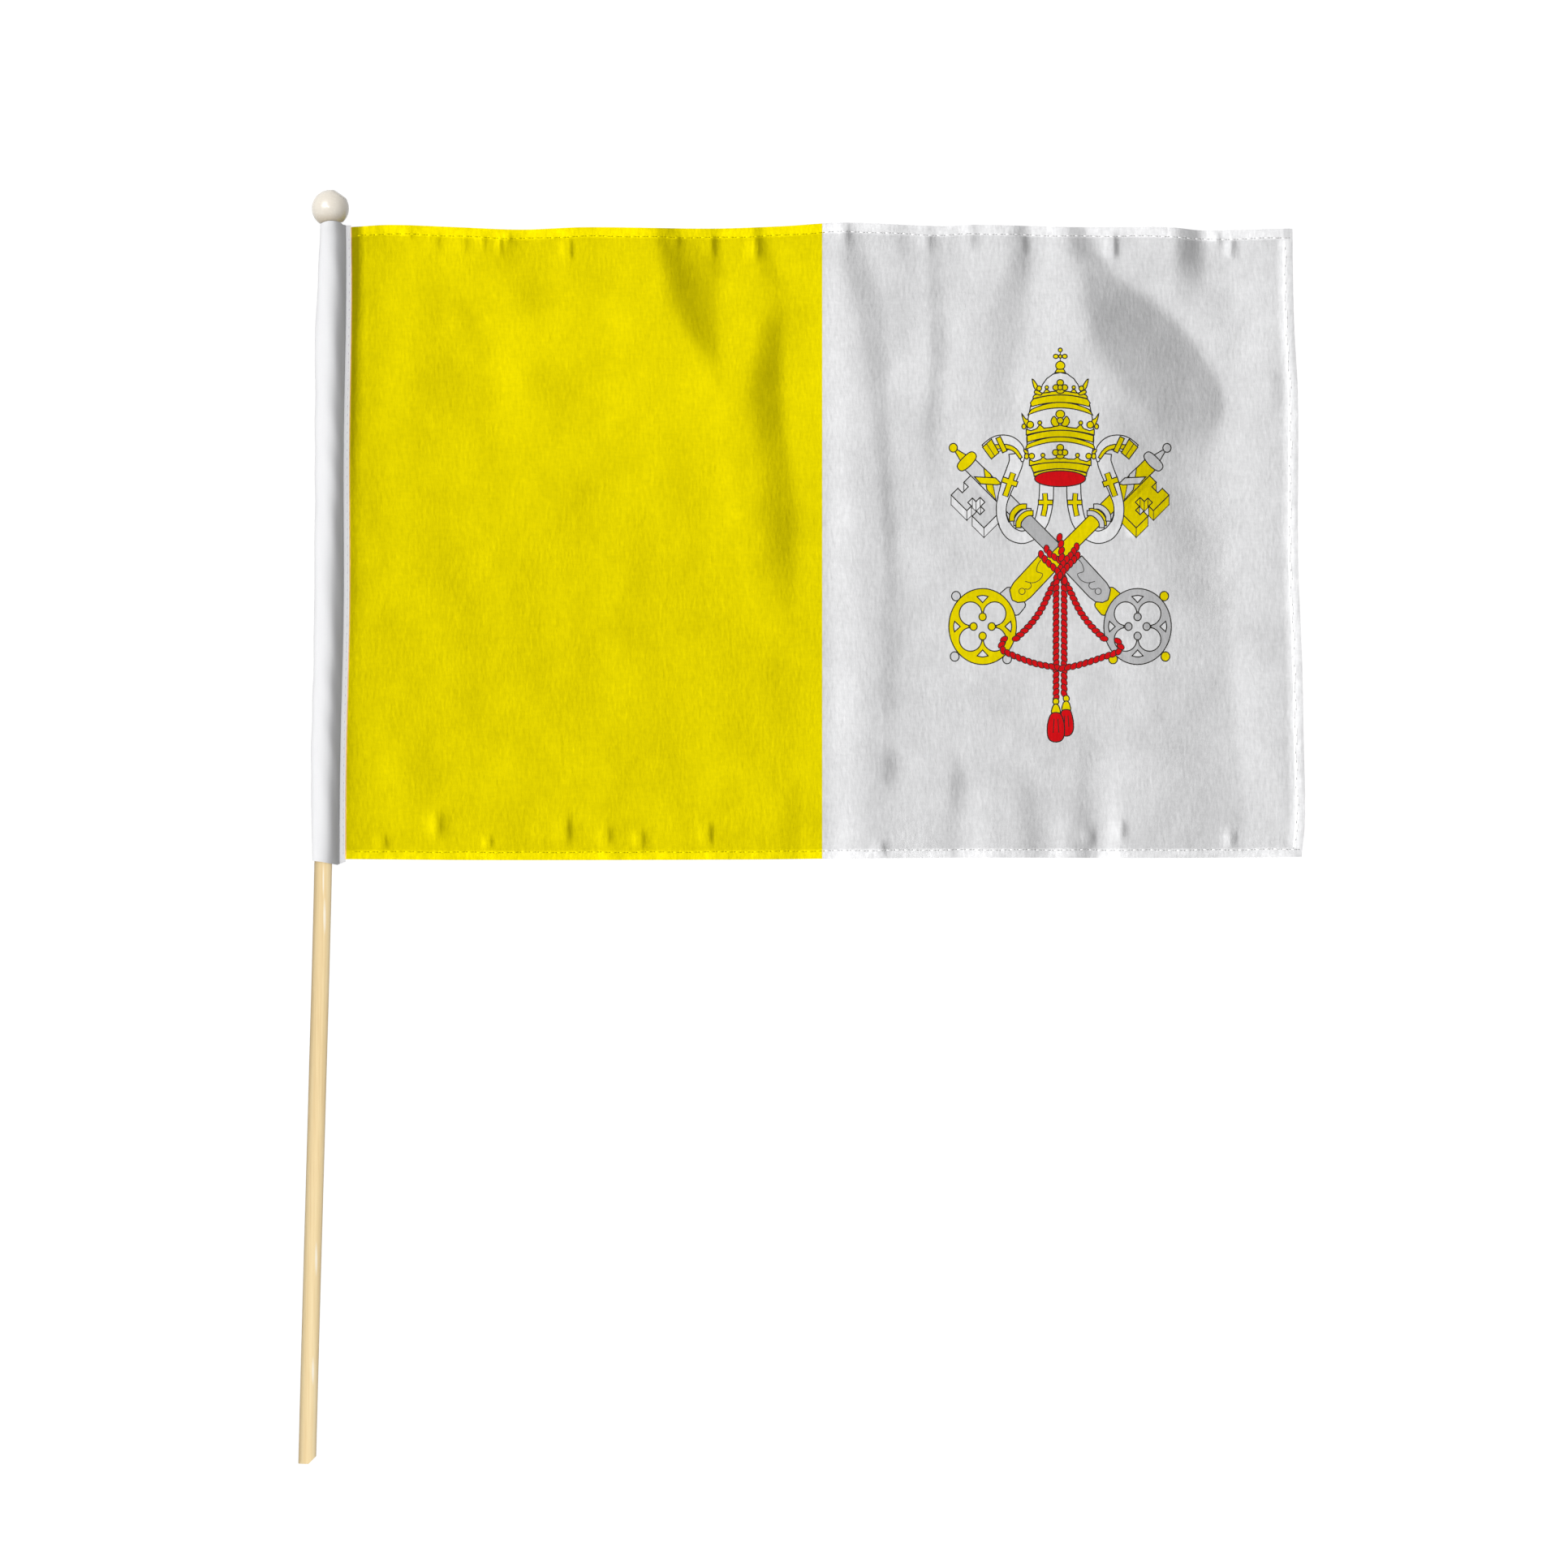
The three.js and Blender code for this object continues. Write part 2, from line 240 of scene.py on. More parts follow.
# The bow: how far the axis stands aside of the ball's middle.
BOW_DOWN = [-1.7, 155, 310, 430, 520, 594]
BOW_ASIDE = [0.5, -0.9, -3.5, -6.7, -9.25, -11.2]
DOWEL_SIDES, DOWEL_STEPS = 48, 60
SLANT_LENGTH, SLANT_ASIDE = 6.0, 0.2  # its length, and where it starts, in radii from the axis
WORN_LENGTH, WORN_ROUNDING = 6.2, 0.35
# Scraped places where the lathe's knife took a pale shaving off: down, aside, and half of their
# length and of their width.
SCRAPES = [(335, 1.4, 9.5, 0.75), (497, 1.9, 9, 0.7), (550, 1.8, 7.5, 0.7), (318, 0.4, 8, 0.4)]


def read_table(down_column, value_column, at):
    """A smooth curve through a short table, read at one place or at many."""
    here, value = np.array(down_column, float), np.array(value_column, float)
    slope = np.gradient(value, here)
    slope[1:-1] = (value[2:] - value[:-2]) / (here[2:] - here[:-2])
    i = np.clip(np.searchsorted(here, at) - 1, 0, len(here) - 2)
    span = here[i + 1] - here[i]
    t = np.clip((at - here[i]) / span, 0, 1)
    return ((2 * t**3 - 3 * t**2 + 1) * value[i] + (t**3 - 2 * t**2 + t) * slope[i] * span
            + (3 * t**2 - 2 * t**3) * value[i + 1] + (t**3 - t**2) * slope[i + 1] * span)


def axis_aside(down):
    return read_table(BOW_DOWN, BOW_ASIDE, down)


def axis_height(down):
    return AXIS_AT_BALL + (AXIS_AT_FOOT - AXIS_AT_BALL) * down / DOWEL_LENGTH


def axis_place(down):
    return place(float(axis_aside(down)), down, float(axis_height(down)))


def smooth(piece, degrees):
    """Shades a piece smooth, but for its edges that are sharper than that."""
    bpy.ops.object.select_all(action="DESELECT")
    piece.select_set(True)
    bpy.context.view_layer.objects.active = piece
    bpy.ops.object.shade_smooth_by_angle(angle=math.radians(degrees))


bpy.ops.object.select_all(action="DESELECT")
bpy.ops.mesh.primitive_circle_add(vertices=DOWEL_SIDES, radius=DOWEL_RADIUS / 1000, fill_type="NGON",
                                  location=axis_place(-DOWEL_IN_BALL),
                                  rotation=(math.pi / 2, 0, 0))
stick = bpy.context.object
stick.name = "dowel"
bpy.ops.object.mode_set(mode="EDIT")
cuts = np.linspace(-DOWEL_IN_BALL, DOWEL_LENGTH, DOWEL_STEPS + 1)
for above, below in zip(cuts[:-1], cuts[1:]):
    step = axis_place(below) - axis_place(above)
    bpy.ops.mesh.extrude_region_move(TRANSFORM_OT_translate={"value": step})
bpy.ops.mesh.select_all(action="SELECT")
bpy.ops.mesh.normals_make_consistent(inside=False)
foot = axis_place(DOWEL_LENGTH)
bpy.ops.mesh.bisect(plane_co=foot + Vector((DOWEL_RADIUS * SLANT_ASIDE / 1000, 0, 0)),
                    plane_no=(SLANT_LENGTH, -DOWEL_RADIUS, 0), use_fill=True, clear_outer=True)
bpy.ops.object.mode_set(mode="OBJECT")
edit = bmesh.new()
edit.from_mesh(stick.data)
worn = [e for e in edit.edges
        if max(v.co.y for v in e.verts) < foot.y + WORN_LENGTH / 1000 and e.calc_face_angle(0) > 0.6]
bmesh.ops.bevel(edit, geom=worn, offset=WORN_ROUNDING / 1000, segments=2, profile=0.5, affect="EDGES")
edit.to_mesh(stick.data)
edit.free()
stick.data.transform(stick.matrix_world)
stick.matrix_world.identity()

wood = Finish("bare_softwood")
grain = wood.noise((900, 14, 900), 4.0)
fine_grain = wood.noise((2600, 60, 2600), 2.0)
tone = wood.noise((60, 5, 60), 2.0)
straw = wood.node("ShaderNodeValToRGB", {"stops": [
    (0.3, colour(232, 200, 146)), (0.5, colour(246, 220, 168)), (0.7, colour(253, 233, 188))]},
    {"Fac": grain * 0.45 + fine_grain * 0.2 + tone * 0.35})

across = wood.node("ShaderNodeSeparateXYZ", None, {0: wood.places()}, output="X")
along = wood.node("ShaderNodeSeparateXYZ", None, {0: wood.places()}, output="Y")
scraped = 0.0
for down, aside, half_length, half_width in SCRAPES:
    middle = place(float(axis_aside(down)) + aside, down, 0)
    reach = (((across - middle.x) / (half_width / 1000)) ** 2.0
             + ((along - middle.y) / (half_length / 1000)) ** 2.0)
    inside = wood.node("ShaderNodeMath", {"operation": "SUBTRACT", "use_clamp": True}, {0: 1.0, 1: reach})
    scraped = inside + scraped
stick.data.materials.append(wood.surface(
    Base_Color=wood.mix(scraped, straw, colour(255, 246, 226)),
    Roughness=fine_grain * 0.15 + 0.5, Specular_IOR_Level=0.25,
    Normal=wood.bump(grain * 0.6 + fine_grain * 0.4, 0.00008)))
smooth(stick, 35)
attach(stick, "root")
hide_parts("stick")
room_lights["stick"].objects.link(stick)


# Ball tip
# A turned wooden ball in glossy ivory lacquer, pressed on the dowel's end. It sits a little
# crooked, has a worn flat on its right shoulder and ends in a flat rim round its socket.

RIM_DOWN, RIM_ROUNDING = 6.9, 0.4
SOCKET_UP, SOCKET_ROOM = 2.2, 0.15
LEAN = math.radians(4)
SHOULDER_OUT, SHOULDER_ROUNDING = 8.2, 1.2
SHOULDER_WAY = Vector((0.55, 0.83, 0.08)).normalized()
RESTS_AT = 0.01  # height of the small flat that it rests on
ball_middle = place(0, 0, AXIS_AT_BALL + 0.05)
bpy.ops.object.select_all(action="DESELECT")
bpy.ops.mesh.primitive_uv_sphere_add(segments=96, ring_count=64, radius=BALL_RADIUS / 1000,
                                     location=ball_middle, rotation=(-math.pi / 2, 0, 0))
ball = bpy.context.object
ball.name = "ball"
bpy.ops.object.transform_apply(location=True, rotation=True, scale=True)
edit = bmesh.new()
edit.from_mesh(ball.data)


def cut_flat(solid, at, outwards, rounding, segments):
    """Cuts a flat on a solid and rounds its edge."""
    cut = bmesh.ops.bisect_plane(solid, geom=solid.verts[:] + solid.edges[:] + solid.faces[:],
                                 plane_co=at, plane_no=outwards, clear_outer=True)
    rim = [e for e in cut["geom_cut"] if isinstance(e, bmesh.types.BMEdge)]
    bmesh.ops.contextual_create(solid, geom=rim)
    if rounding:
        bmesh.ops.bevel(solid, geom=rim, offset=rounding / 1000, segments=segments, profile=0.6,
                        affect="EDGES")


cut_flat(edit, ball_middle + SHOULDER_WAY * SHOULDER_OUT / 1000, SHOULDER_WAY, SHOULDER_ROUNDING, 4)
cut_flat(edit, Vector((0, 0, RESTS_AT / 1000)), Vector((0, 0, -1)), 0, 1)
rim_normal = Vector((math.sin(LEAN), -math.cos(LEAN), 0))
rim_at = ball_middle + rim_normal * RIM_DOWN / 1000
cut_flat(edit, rim_at, rim_normal, RIM_ROUNDING, 2)
rim_face = min((f for f in edit.faces if f.normal.dot(rim_normal) > 0.999),
               key=lambda f: -f.calc_area())
rim_radius = math.sqrt(rim_face.calc_area() / math.pi)
bmesh.ops.inset_individual(edit, faces=[rim_face],
                           thickness=rim_radius - (DOWEL_RADIUS + SOCKET_ROOM) / 1000)
socket_floor = bmesh.ops.extrude_discrete_faces(edit, faces=[rim_face])["faces"][0]
bmesh.ops.translate(edit, verts=socket_floor.verts, vec=-rim_normal * (RIM_DOWN + SOCKET_UP) / 1000)
edit.to_mesh(ball.data)
edit.free()

lacquer = Finish("ivory_lacquer")
# Painted shade: the ivory turns darker brown towards the rim, where the ball meets the sleeve.
toward_neck = lacquer.node("ShaderNodeSeparateXYZ", None, {0: lacquer.places()}, output="Y")
neck_painted_shade = lacquer.node("ShaderNodeMapRange", None, {
    "Value": toward_neck, "From Min": ball_middle.y - 0.0025, "From Max": ball_middle.y - 0.0072})
mottle = lacquer.noise((220, 220, 220), 3.0)
ivory = lacquer.mix(mottle, colour(233, 224, 208), colour(243, 236, 224))
lacquer_skin = lacquer.noise((900, 900, 900), 2.0)
# Its base colour carries that painted shade.
ball.data.materials.append(lacquer.surface(
    Base_Color=lacquer.mix(neck_painted_shade * 0.75, ivory, colour(196, 176, 140)),
    Roughness=lacquer_skin * 0.12 + 0.2, Specular_IOR_Level=0.5, Coat_Weight=0.35,
    Normal=lacquer.bump(mottle, 0.00012)))
smooth(ball, 40)
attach(ball, "root")
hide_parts("ball_tip")
room_lights["ball"].objects.link(ball)

# A tall soft light that only the lacquer mirrors.
glint_data = bpy.data.lights.new("glint", "AREA")
glint_data.shape, glint_data.size, glint_data.size_y = "RECTANGLE", 0.1, 0.6
glint_data.energy = 2.2
glint = bpy.data.objects.new("glint", glint_data)
glint_way = Vector((-0.34, 0.17, 0.92)).normalized()
glint.location = ball_middle + glint_way
glint.rotation_mode = "QUATERNION"
glint.rotation_quaternion = glint_way.to_track_quat("Z", "Y")
glint.visible_diffuse = False
glinting = bpy.data.collections.new("glinting")
glinting.objects.link(ball)
glint.light_linking.receiver_collection = glinting
bpy.context.scene.collection.objects.link(glint)


# Lie of the cloth
# The panel is fine polyester that was folded in a packet. It lies on the table in soft folds that
# run down from its head, with short pleats where the stitches of its hems pull, and its hoist edge
# is held up by the sleeve.

SEAM_START, SEAM_DRIFT, SEAM_WANDER, SEAM_WAVE, SLEEVE_FOOT = 9.3, -2.75, 0.35, 150.0, 309.5
SEAM_FALL = 3.6
SEAM_ABOVE = ([8, 60, 150, 310], [1.0, 0.7, 0.3, 0.1])  # how far the seam lies above the cloth
RISE_FROM, RISE_TO = 24.0, 454.5
MARGIN_TILT = 0.18
OFF_TABLE = 0.4
HEAD, FOOT = 8.5, 307.7
COLOUR_LINE = 232.7  # where the print goes from yellow to white
HEAD_EDGE = ([9, 28, 59, 90, 120, 180, 213, 243, 289, 305, 351, 397, 413, 456],
             [0.0, -1.1, 0.0, 1.2, 0.1, 0.7, -0.4, -2.1, -0.4, -1.1, 0.0, 0.1, 1.5, 0.6])
FOOT_EDGE = ([6, 80, 200, 236, 300, 400, 461], [0.2, 0.7, 0.4, 0.0, -0.5, -0.4, -0.9])
FLY_EDGE = ([8, 50, 89, 166, 212, 250, 289, 307],
            [455.5, 456.1, 458.1, 458.2, 460.0, 460.8, 461.5, 459.9])

# The main folds. Where the cloth falls to the right it lies darker, and where it rises brighter.
# Each fold has the shares of its width that are rounded at its start and its end, and a few rows:
# down, x where it starts, x where it ends, and how far the cloth falls there (a rise is negative).
FOLDS = [
    # From the head: the first dark fold, the pleat inside it, and the short one beside it.
    (0.2, 0.5, [(13, 153, 168, 1.4), (28, 155, 174, 1.5), (45, 158, 180, 0.9), (60, 168, 183, 0.4),
                (70, 174, 185, 0)]),
    (0.35, 0.15, [(12, 157, 185, 0.3), (32, 158, 185, 1.1), (45, 160, 185, 1.2), (62, 169, 185, 0.9),
                  (84, 182, 186, 0)]),
    (0.4, 0.3, [(13, 177, 185, 0.4), (24, 179, 186, 0.3), (36, 181, 187, 0)]),
    (0.3, 0.4, [(12, 199, 206, 0.5), (28, 202, 213, 0.4), (48, 209, 217, 0.1), (56, 213, 218, 0)]),
    # The long fold left of the colour line, the bright bend that leads into it, its tail and its foot.
    (0.45, 0.12, [(44, 205, 217, 0), (60, 200, 215, 1.3), (85, 193, 215, 2.3), (106, 197, 216, 1.8),
                  (125, 200, 219, 1.2), (155, 202, 221, 1.1), (175, 206, 221, 0.6), (195, 214, 220, 0)]),
    (0.3, 0.6, [(82, 182, 191, 0), (110, 179, 194, -0.1), (140, 185, 199, -0.2), (175, 191, 205, -0.2),
                (200, 197, 208, 0)]),
    (0.5, 0.4, [(198, 203, 216, 0), (222, 202, 217, 0.1), (238, 203, 216, 0)]),
    (0.5, 0.3, [(266, 214, 223, 0), (285, 211, 224, 0.3), (308, 210, 224, 0.4)]),
    # Soft dents of the yellow half: under the head, the V's arms and what hangs under them.
    (0.5, 0.5, [(12, 74, 96, 0.2), (30, 76, 108, 0.4), (46, 85, 107, 0.3), (60, 92, 104, 0)]),
    (0.3, 0.4, [(16, 39, 56, 0), (40, 40, 57, 0.3), (65, 36, 60, 0.5), (85, 26, 85, 1.7),
                (105, 22, 75, 1.1), (130, 19, 44, 0)]),
    (0.4, 0.4, [(30, 57, 64, 0), (46, 64, 72, -0.05), (68, 82, 92, 0)]),
    (0.3, 0.5, [(33, 53, 58, 0), (51, 59, 68, 0.2), (70, 70, 78, 0)]),
    (0.4, 0.4, [(35, 130, 141, 0), (53, 104, 118, -0.1), (72, 89, 99, 0)]),
    (0.5, 0.5, [(66, 89, 150, 0), (80, 82, 146, 1.3), (96, 90, 137, 0.8), (110, 94, 126, 0)]),
    (0.5, 0.15, [(99, 132, 138, 0), (118, 121, 144, 0.3), (140, 106, 121, 0.1), (166, 89, 97, 0)]),
    (0.5, 0.5, [(150, 19, 32, 0), (200, 18, 35, 0.05), (288, 21, 35, 0)]),
    (0.5, 0.5, [(210, 45, 58, 0), (230, 45, 62, 0.1), (254, 47, 58, 0)]),
    (0.5, 0.5, [(208, 70, 85, 0), (230, 70, 91, 0.2), (253, 74, 85, 0)]),
    # The long crease of the white half, with a rise on either side of it, and its faint neighbour.
    (0.2, 0.5, [(10, 234, 241, -0.1), (50, 234, 246, -0.3), (110, 234, 252, -0.6), (170, 234, 254, -1.0),
                (308, 234, 258, -1.1)]),
    (0.25, 0.3, [(10, 241, 248, 0.3), (25, 242, 257, 0.8), (55, 248, 265, 1.0), (95, 254, 266, 0.7),
                 (160, 261, 269, 0.4), (180, 261, 270, 0.2), (200, 259, 271, 0.3), (228, 259, 270, 0.45),
                 (250, 260, 269, 0.1), (264, 260, 270, 0.7), (278, 261, 269, 0)]),
    (0.4, 0.4, [(10, 281, 289, 0.3), (35, 281, 291, 0.4), (70, 282, 293, 0.7), (100, 279, 290, 0.5),
                (132, 278, 289, 0)]),
    (0.5, 0.5, [(116, 269, 305, 0), (155, 270, 325, -0.3), (200, 270, 331, -0.5), (270, 269, 320, -0.7),
                (308, 266, 320, -0.6)]),
    # From the head, left of the crown, with two short dents and the bright stretch over the crown.
    (0.4, 0.4, [(10, 293, 316, -0.3), (45, 294, 306, -0.15), (85, 294, 305, 0)]),
    (0.35, 0.3, [(10, 321, 331, 0.9), (30, 318, 334, 0.9), (45, 308, 332, 0.8), (68, 307, 329, 0.9),
                 (95, 305, 323, 0.4), (116, 305, 322, 0)]),
    (0.4, 0.4, [(12, 266, 275, 0.5), (20, 267, 275, 0.3), (28, 268, 274, 0)]),
    (0.4, 0.4, [(12, 302, 309, 0.4), (22, 303, 308, 0)]),
    (0.4, 0.5, [(10, 331, 347, -0.5), (40, 331, 352, -0.3), (115, 329, 363, -0.2), (147, 329, 360, -0.3),
                (190, 333, 380, -0.5), (265, 362, 381, -0.3), (308, 363, 381, -0.3)]),
    # Under the crown.
    (0.4, 0.3, [(66, 331, 362, 0), (86, 330, 362, 1.2), (115, 330, 362, 1.3), (140, 332, 362, 0.4),
                (160, 335, 362, 0)]),
    # The dark fold that starts at the head, turns broad and runs down to the right, and what is under it.
    (0.2, 0.3, [(10, 347, 358, 1.0), (20, 349, 366, 1.5), (30, 354, 372, 0.9), (38, 359, 374, 0)]),
    (0.2, 0.08, [(28, 352, 368, 0), (42, 353, 389, 3.4), (55, 354, 404, 5.4), (70, 359, 416, 6.2),
                 (82, 367, 423, 6.0), (95, 380, 425, 4.5), (110, 392, 418, 1.8), (130, 401, 412, 0)]),
    (0.5, 0.3, [(80, 358, 381, 0), (105, 360, 396, 1.9), (132, 366, 411, 2.0), (155, 382, 419, 1.3),
                (180, 389, 420, 0.7), (208, 393, 430, 0.4), (240, 382, 431, 0.6), (308, 382, 433, 0.9)]),
    (0.3, 0.2, [(10, 398, 414, 2.0), (22, 398, 415, 2.1), (33, 398, 415, 1.1), (47, 398, 409, 0)]),
    # Beside the fly's hem.
    (0.1, 0.5, [(10, 416, 452, -0.4), (55, 427, 454, -0.2), (85, 425, 443, 0), (132, 420, 454, -0.5),
                (200, 424, 455, -0.7), (308, 433, 457, -0.6)]),
    (0.3, 0.3, [(72, 443, 448, 0), (82, 446, 451, 0.4), (101, 449, 452, 0)]),
    # Short dents near the foot, the bright rises between them, and a dent beside the gold bow.
    (0.4, 0.3, [(232, 351, 361, 0), (250, 351, 362, 0.2), (280, 350, 362, 0.5), (308, 350, 363, 0.9)]),
    (0.4, 0.3, [(258, 322, 330, 0), (280, 323, 336, 0.5), (308, 324, 340, 0.8)]),
    (0.4, 0.4, [(256, 291, 299, 0), (273, 291, 302, 0.8), (290, 289, 300, 0.4), (308, 287, 300, 0.2)]),
    (0.4, 0.4, [(272, 302, 313, 0), (288, 301, 314, -0.3), (308, 300, 315, -0.4)]),
    (0.4, 0.4, [(274, 339, 349, 0), (288, 339, 350, -0.3), (308, 340, 350, -0.5)]),
    (0.4, 0.4, [(262, 364, 374, 0), (285, 364, 375, -0.3), (308, 364, 375, -0.4)]),
    (0.5, 0.4, [(116, 285, 294, 0), (140, 282, 294, 0.15), (166, 279, 291, 0)]),
]
# Short pleats that the hems' stitches pull: x, from, to, width, height.
PLEATS = [
    (38, 8, 15, 2, 0.5), (51, 12, 18, 2.5, 0.7), (64, 13, 19, 2.5, 0.7), (73, 12, 18, 2, 0.6),
    (81, 13, 20, 2, 0.7), (85, 11, 18, 2.5, 0.6), (114, 14, 24, 2.5, 1), (165, 12, 18, 2.5, 0.7),
    (182, 12, 22, 3.5, 0.8),
    (203, 12, 25, 3.5, 1), (245, 7, 17, 3, 0.8), (284, 12, 18, 3, 0.8), (304, 12, 19, 3, 0.5),
    (329, 12, 21, 3, 1.1), (372, 11, 25, 3.5, 1.2), (421, 10, 18, 2.5, 0.6), (428, 14, 23, 3, 1.1),
    (26, 296, 304, 2.5, 0.8), (52, 284, 299, 3.5, 0.9), (76, 297, 303, 3, 1), (113, 286, 302, 4, 0.9),
    (132, 291, 302, 3, 0.9), (148, 293, 304, 3, 1), (180, 290, 302, 3.5, 0.9), (262, 299, 306, 3, 0.9),
    (361, 292, 303, 3.5, 1.1), (376, 288, 300, 4, 0.8), (428, 293, 304, 3.5, 0.9),
]
PLEAT_HEIGHT = 0.5
CRUMPLE, CRUMPLE_REACH = 0.035, 7.0  # height of the hems' fine crumple, and how far it reaches in
BESIDE_SEAM = 8  # over this width beside the seam the cloth's fine forms start
# The cloth's own unevenness: a few waves of many lengths and directions.
WAVE_STEEPNESS = 0.0007
random = np.random.RandomState(11)
WAVES = [(length, random.uniform(0, math.pi), random.uniform(0, math.tau))
         for length in (15, 18, 21, 25, 29, 34, 39, 44, 50, 57, 64, 72)]


def seam_x(down):
    share = down / SLEEVE_FOOT
    return SEAM_START + SEAM_DRIFT * share**2 + SEAM_WANDER * np.sin(math.tau * down / SEAM_WAVE)


def slide(share, soft_start, soft_end):
    """From 0 to 1, evenly but for its rounded start and end."""
    share = np.clip(share, 0, 1)
    even = share - soft_start / 2
    last = 1 - (soft_start + soft_end) / 2
    return np.where(share < soft_start, share**2 / (2 * soft_start),
                    np.where(share < 1 - soft_end, even, last - (1 - share) ** 2 / (2 * soft_end))) / last


def lie(x, down):
    """Height of the cloth from its folds alone. Between them it rises by as much as they fall."""
    level = 0.0
    for soft_start, soft_end, rows in FOLDS:
        at, starts, ends, falls = np.array(rows, float).T
        start, end = read_table(at, starts, down), read_table(at, ends, down)
        fall = np.where((down < at[0]) & (falls[0] == 0) | (down > at[-1]), 0, read_table(at, falls, down))
        level = level + fall * (np.clip((x - RISE_FROM) / (RISE_TO - RISE_FROM), 0, 1)
                                - slide((x - start) / (end - start), soft_start, soft_end))
    return level


def pleat(x, down, middle, first, last, width, height):
    """A short pleat: it rises on its left and drops steeply through its middle."""
    off = x - (middle - width / 2)
    share = np.minimum(np.abs(off) / np.where(off > 0, width, 1.3 * width), 1)
    length = np.sin(math.pi * np.clip((down - first) / (last - first), 0, 1))
    return PLEAT_HEIGHT * height * length * (0.5 + 0.5 * np.cos(math.pi * share))


# Each line across the cloth touches the table where it is lowest.
LEVELS = np.arange(0, 318.0)
everywhere, downs = np.meshgrid(np.arange(12, 462.0), LEVELS)
lowest = lie(everywhere, downs).min(1)
for _ in range(3):
    lowest[1:-1] = (lowest[:-2] + lowest[1:-1] + lowest[2:]) / 3


def cloth_height(x, down):
    """Height of the cloth's underside over the table, in millimetres."""
    x, down = np.asarray(x, float), np.asarray(down, float)
    from_seam = x - seam_x(down)
    held = 0.5 + 0.5 * np.cos(math.pi * np.clip(from_seam / SEAM_FALL, 0, 1))
    lying = lie(x, down) - np.interp(down, LEVELS, lowest)
    fine = sum(pleat(x, down, *row) for row in PLEATS)
    for length, turn, shift in WAVES:
        way = x * np.cos(turn) + down * np.sin(turn)
        fine = fine + WAVE_STEEPNESS * length * np.sin(math.tau / length * way + shift)
    near_hem = np.exp(-np.minimum(down - HEAD, FOOT - down) / CRUMPLE_REACH)
    fine = fine + CRUMPLE * near_hem * np.sin(x / 2.9 + 1.7 * np.sin(x / 21))
    return (lying + read_table(*SEAM_ABOVE, down) * held + MARGIN_TILT * np.minimum(from_seam, 0)
            + fine * np.clip(from_seam / BESIDE_SEAM, 0, 1) + OFF_TABLE)


# Sleeve
# A strip of plain white polyester, folded round the dowel. Its two margins hold the panel's
# hoist edge between them, sewn through. It bags to the left and rides up on the ball's end.

SHEET = 0.28  # thickness of the cloth
BETWEEN_MARGINS = 0.05  # room between the panel's edge and each margin
SLEEVE_HEAD = 7.0
LEFT_REACH = ([7, 32, 55, 90, 148, 194, 240, 263, 286, 310],
              [4.9, 5.6, 6.9, 6.6, 6.3, 5.9, 6.2, 6.2, 5.7, 4.8])
MARGIN_FLAT = ([7, 150, 310], [2.1, 2.4, 2.5])
# Its head end, seen from above, is an arc that hangs lower at its left and right. Its foot end is
# read across the strip.
HEAD_END = {"middle": 6.15, "left": 5.2, "left_hangs": 1.55, "right": 8.4, "right_hangs": 1.8, "under": 7.7}
FOOT_END = ([-5, -0.7, 3.9, 6.4, 10], [308.6, 309.1, 310.0, 310.6, 309.2])
FLARE, FLARE_LENGTH = 1.95, 8.0  # how far its head end rides up on the ball, and over what length
FINE_RUFFLE, BROAD_RUFFLE = 0.128, 0.112  # heights of its short and long ruffles
FLAT_MARGIN = 2.6
STATIONS, PROFILE_STEPS = 150, 4


def panel_middle(x, down):
    """Height over the dowel's axis of the middle of the panel's cloth, near the seam."""
    return cloth_height(x, down) + SHEET / 2 - axis_height(down)


def sleeve_profile(down):
    """The strip's section round the dowel: across (u) and up (w) from the axis, top margin first."""
    end = float(seam_x(down) - axis_aside(down))
    flat = float(read_table(*MARGIN_FLAT, down))
    left = float(read_table(*LEFT_REACH, down))
    at_end, at_flat = (float(panel_middle(seam_x(down) - back, down)) for back in (0, flat))
    apart = SHEET + BETWEEN_MARGINS
    upper_margin = [(end, at_end + apart), (end - flat * 0.5, (at_end + at_flat) / 2 + apart),
                    (end - flat, at_flat + apart + 0.08), (end - flat - 0.5, at_flat + apart + 0.6)]
    over_dowel = [(6.4, -2.6), (5.6, -0.6), (4.6, 1.5), (3.4, 3.1), (2.0, 4.15), (0.5, 4.62), (-1.2, 4.6),
                  (-3.2, 3.9)]
    down_left = [(-(left + 4.2) / 2, 2.4), (-left, -0.2), (-left * 0.92, -2.6), (-left * 0.6, -4.2)]
    under_dowel = [(-1.2, -4.6), (2.0, -4.68), (4.4, -4.95)]
    lower_margin = [(end - flat, at_flat - apart - 0.05), (end, at_end - apart)]
    return curve(upper_margin + over_dowel + down_left + under_dowel + lower_margin,
                 closed=False, steps=PROFILE_STEPS)


def curve(points, closed=True, steps=5):
    """A smooth curve through a few points."""
    p = np.array(points, float)
    n = len(p)
    out = []
    for i in range(n if closed else n - 1):
        a, b, c, d = (p[(i + k) % n] if closed else p[min(max(i + k, 0), n - 1)] for k in (-1, 0, 1, 2))
        for t in np.arange(steps) / steps:
            out.append(0.5 * (2 * b + (c - a) * t + (2 * a - 5 * b + 4 * c - d) * t**2
                              + (3 * b - a - 3 * c + d) * t**3))
    if not closed:
        out.append(p[-1])
    return np.array(out)


def soft_step(distance, width):
    t = np.clip(distance / width, 0, 1)
    return t * t * (3 - 2 * t)


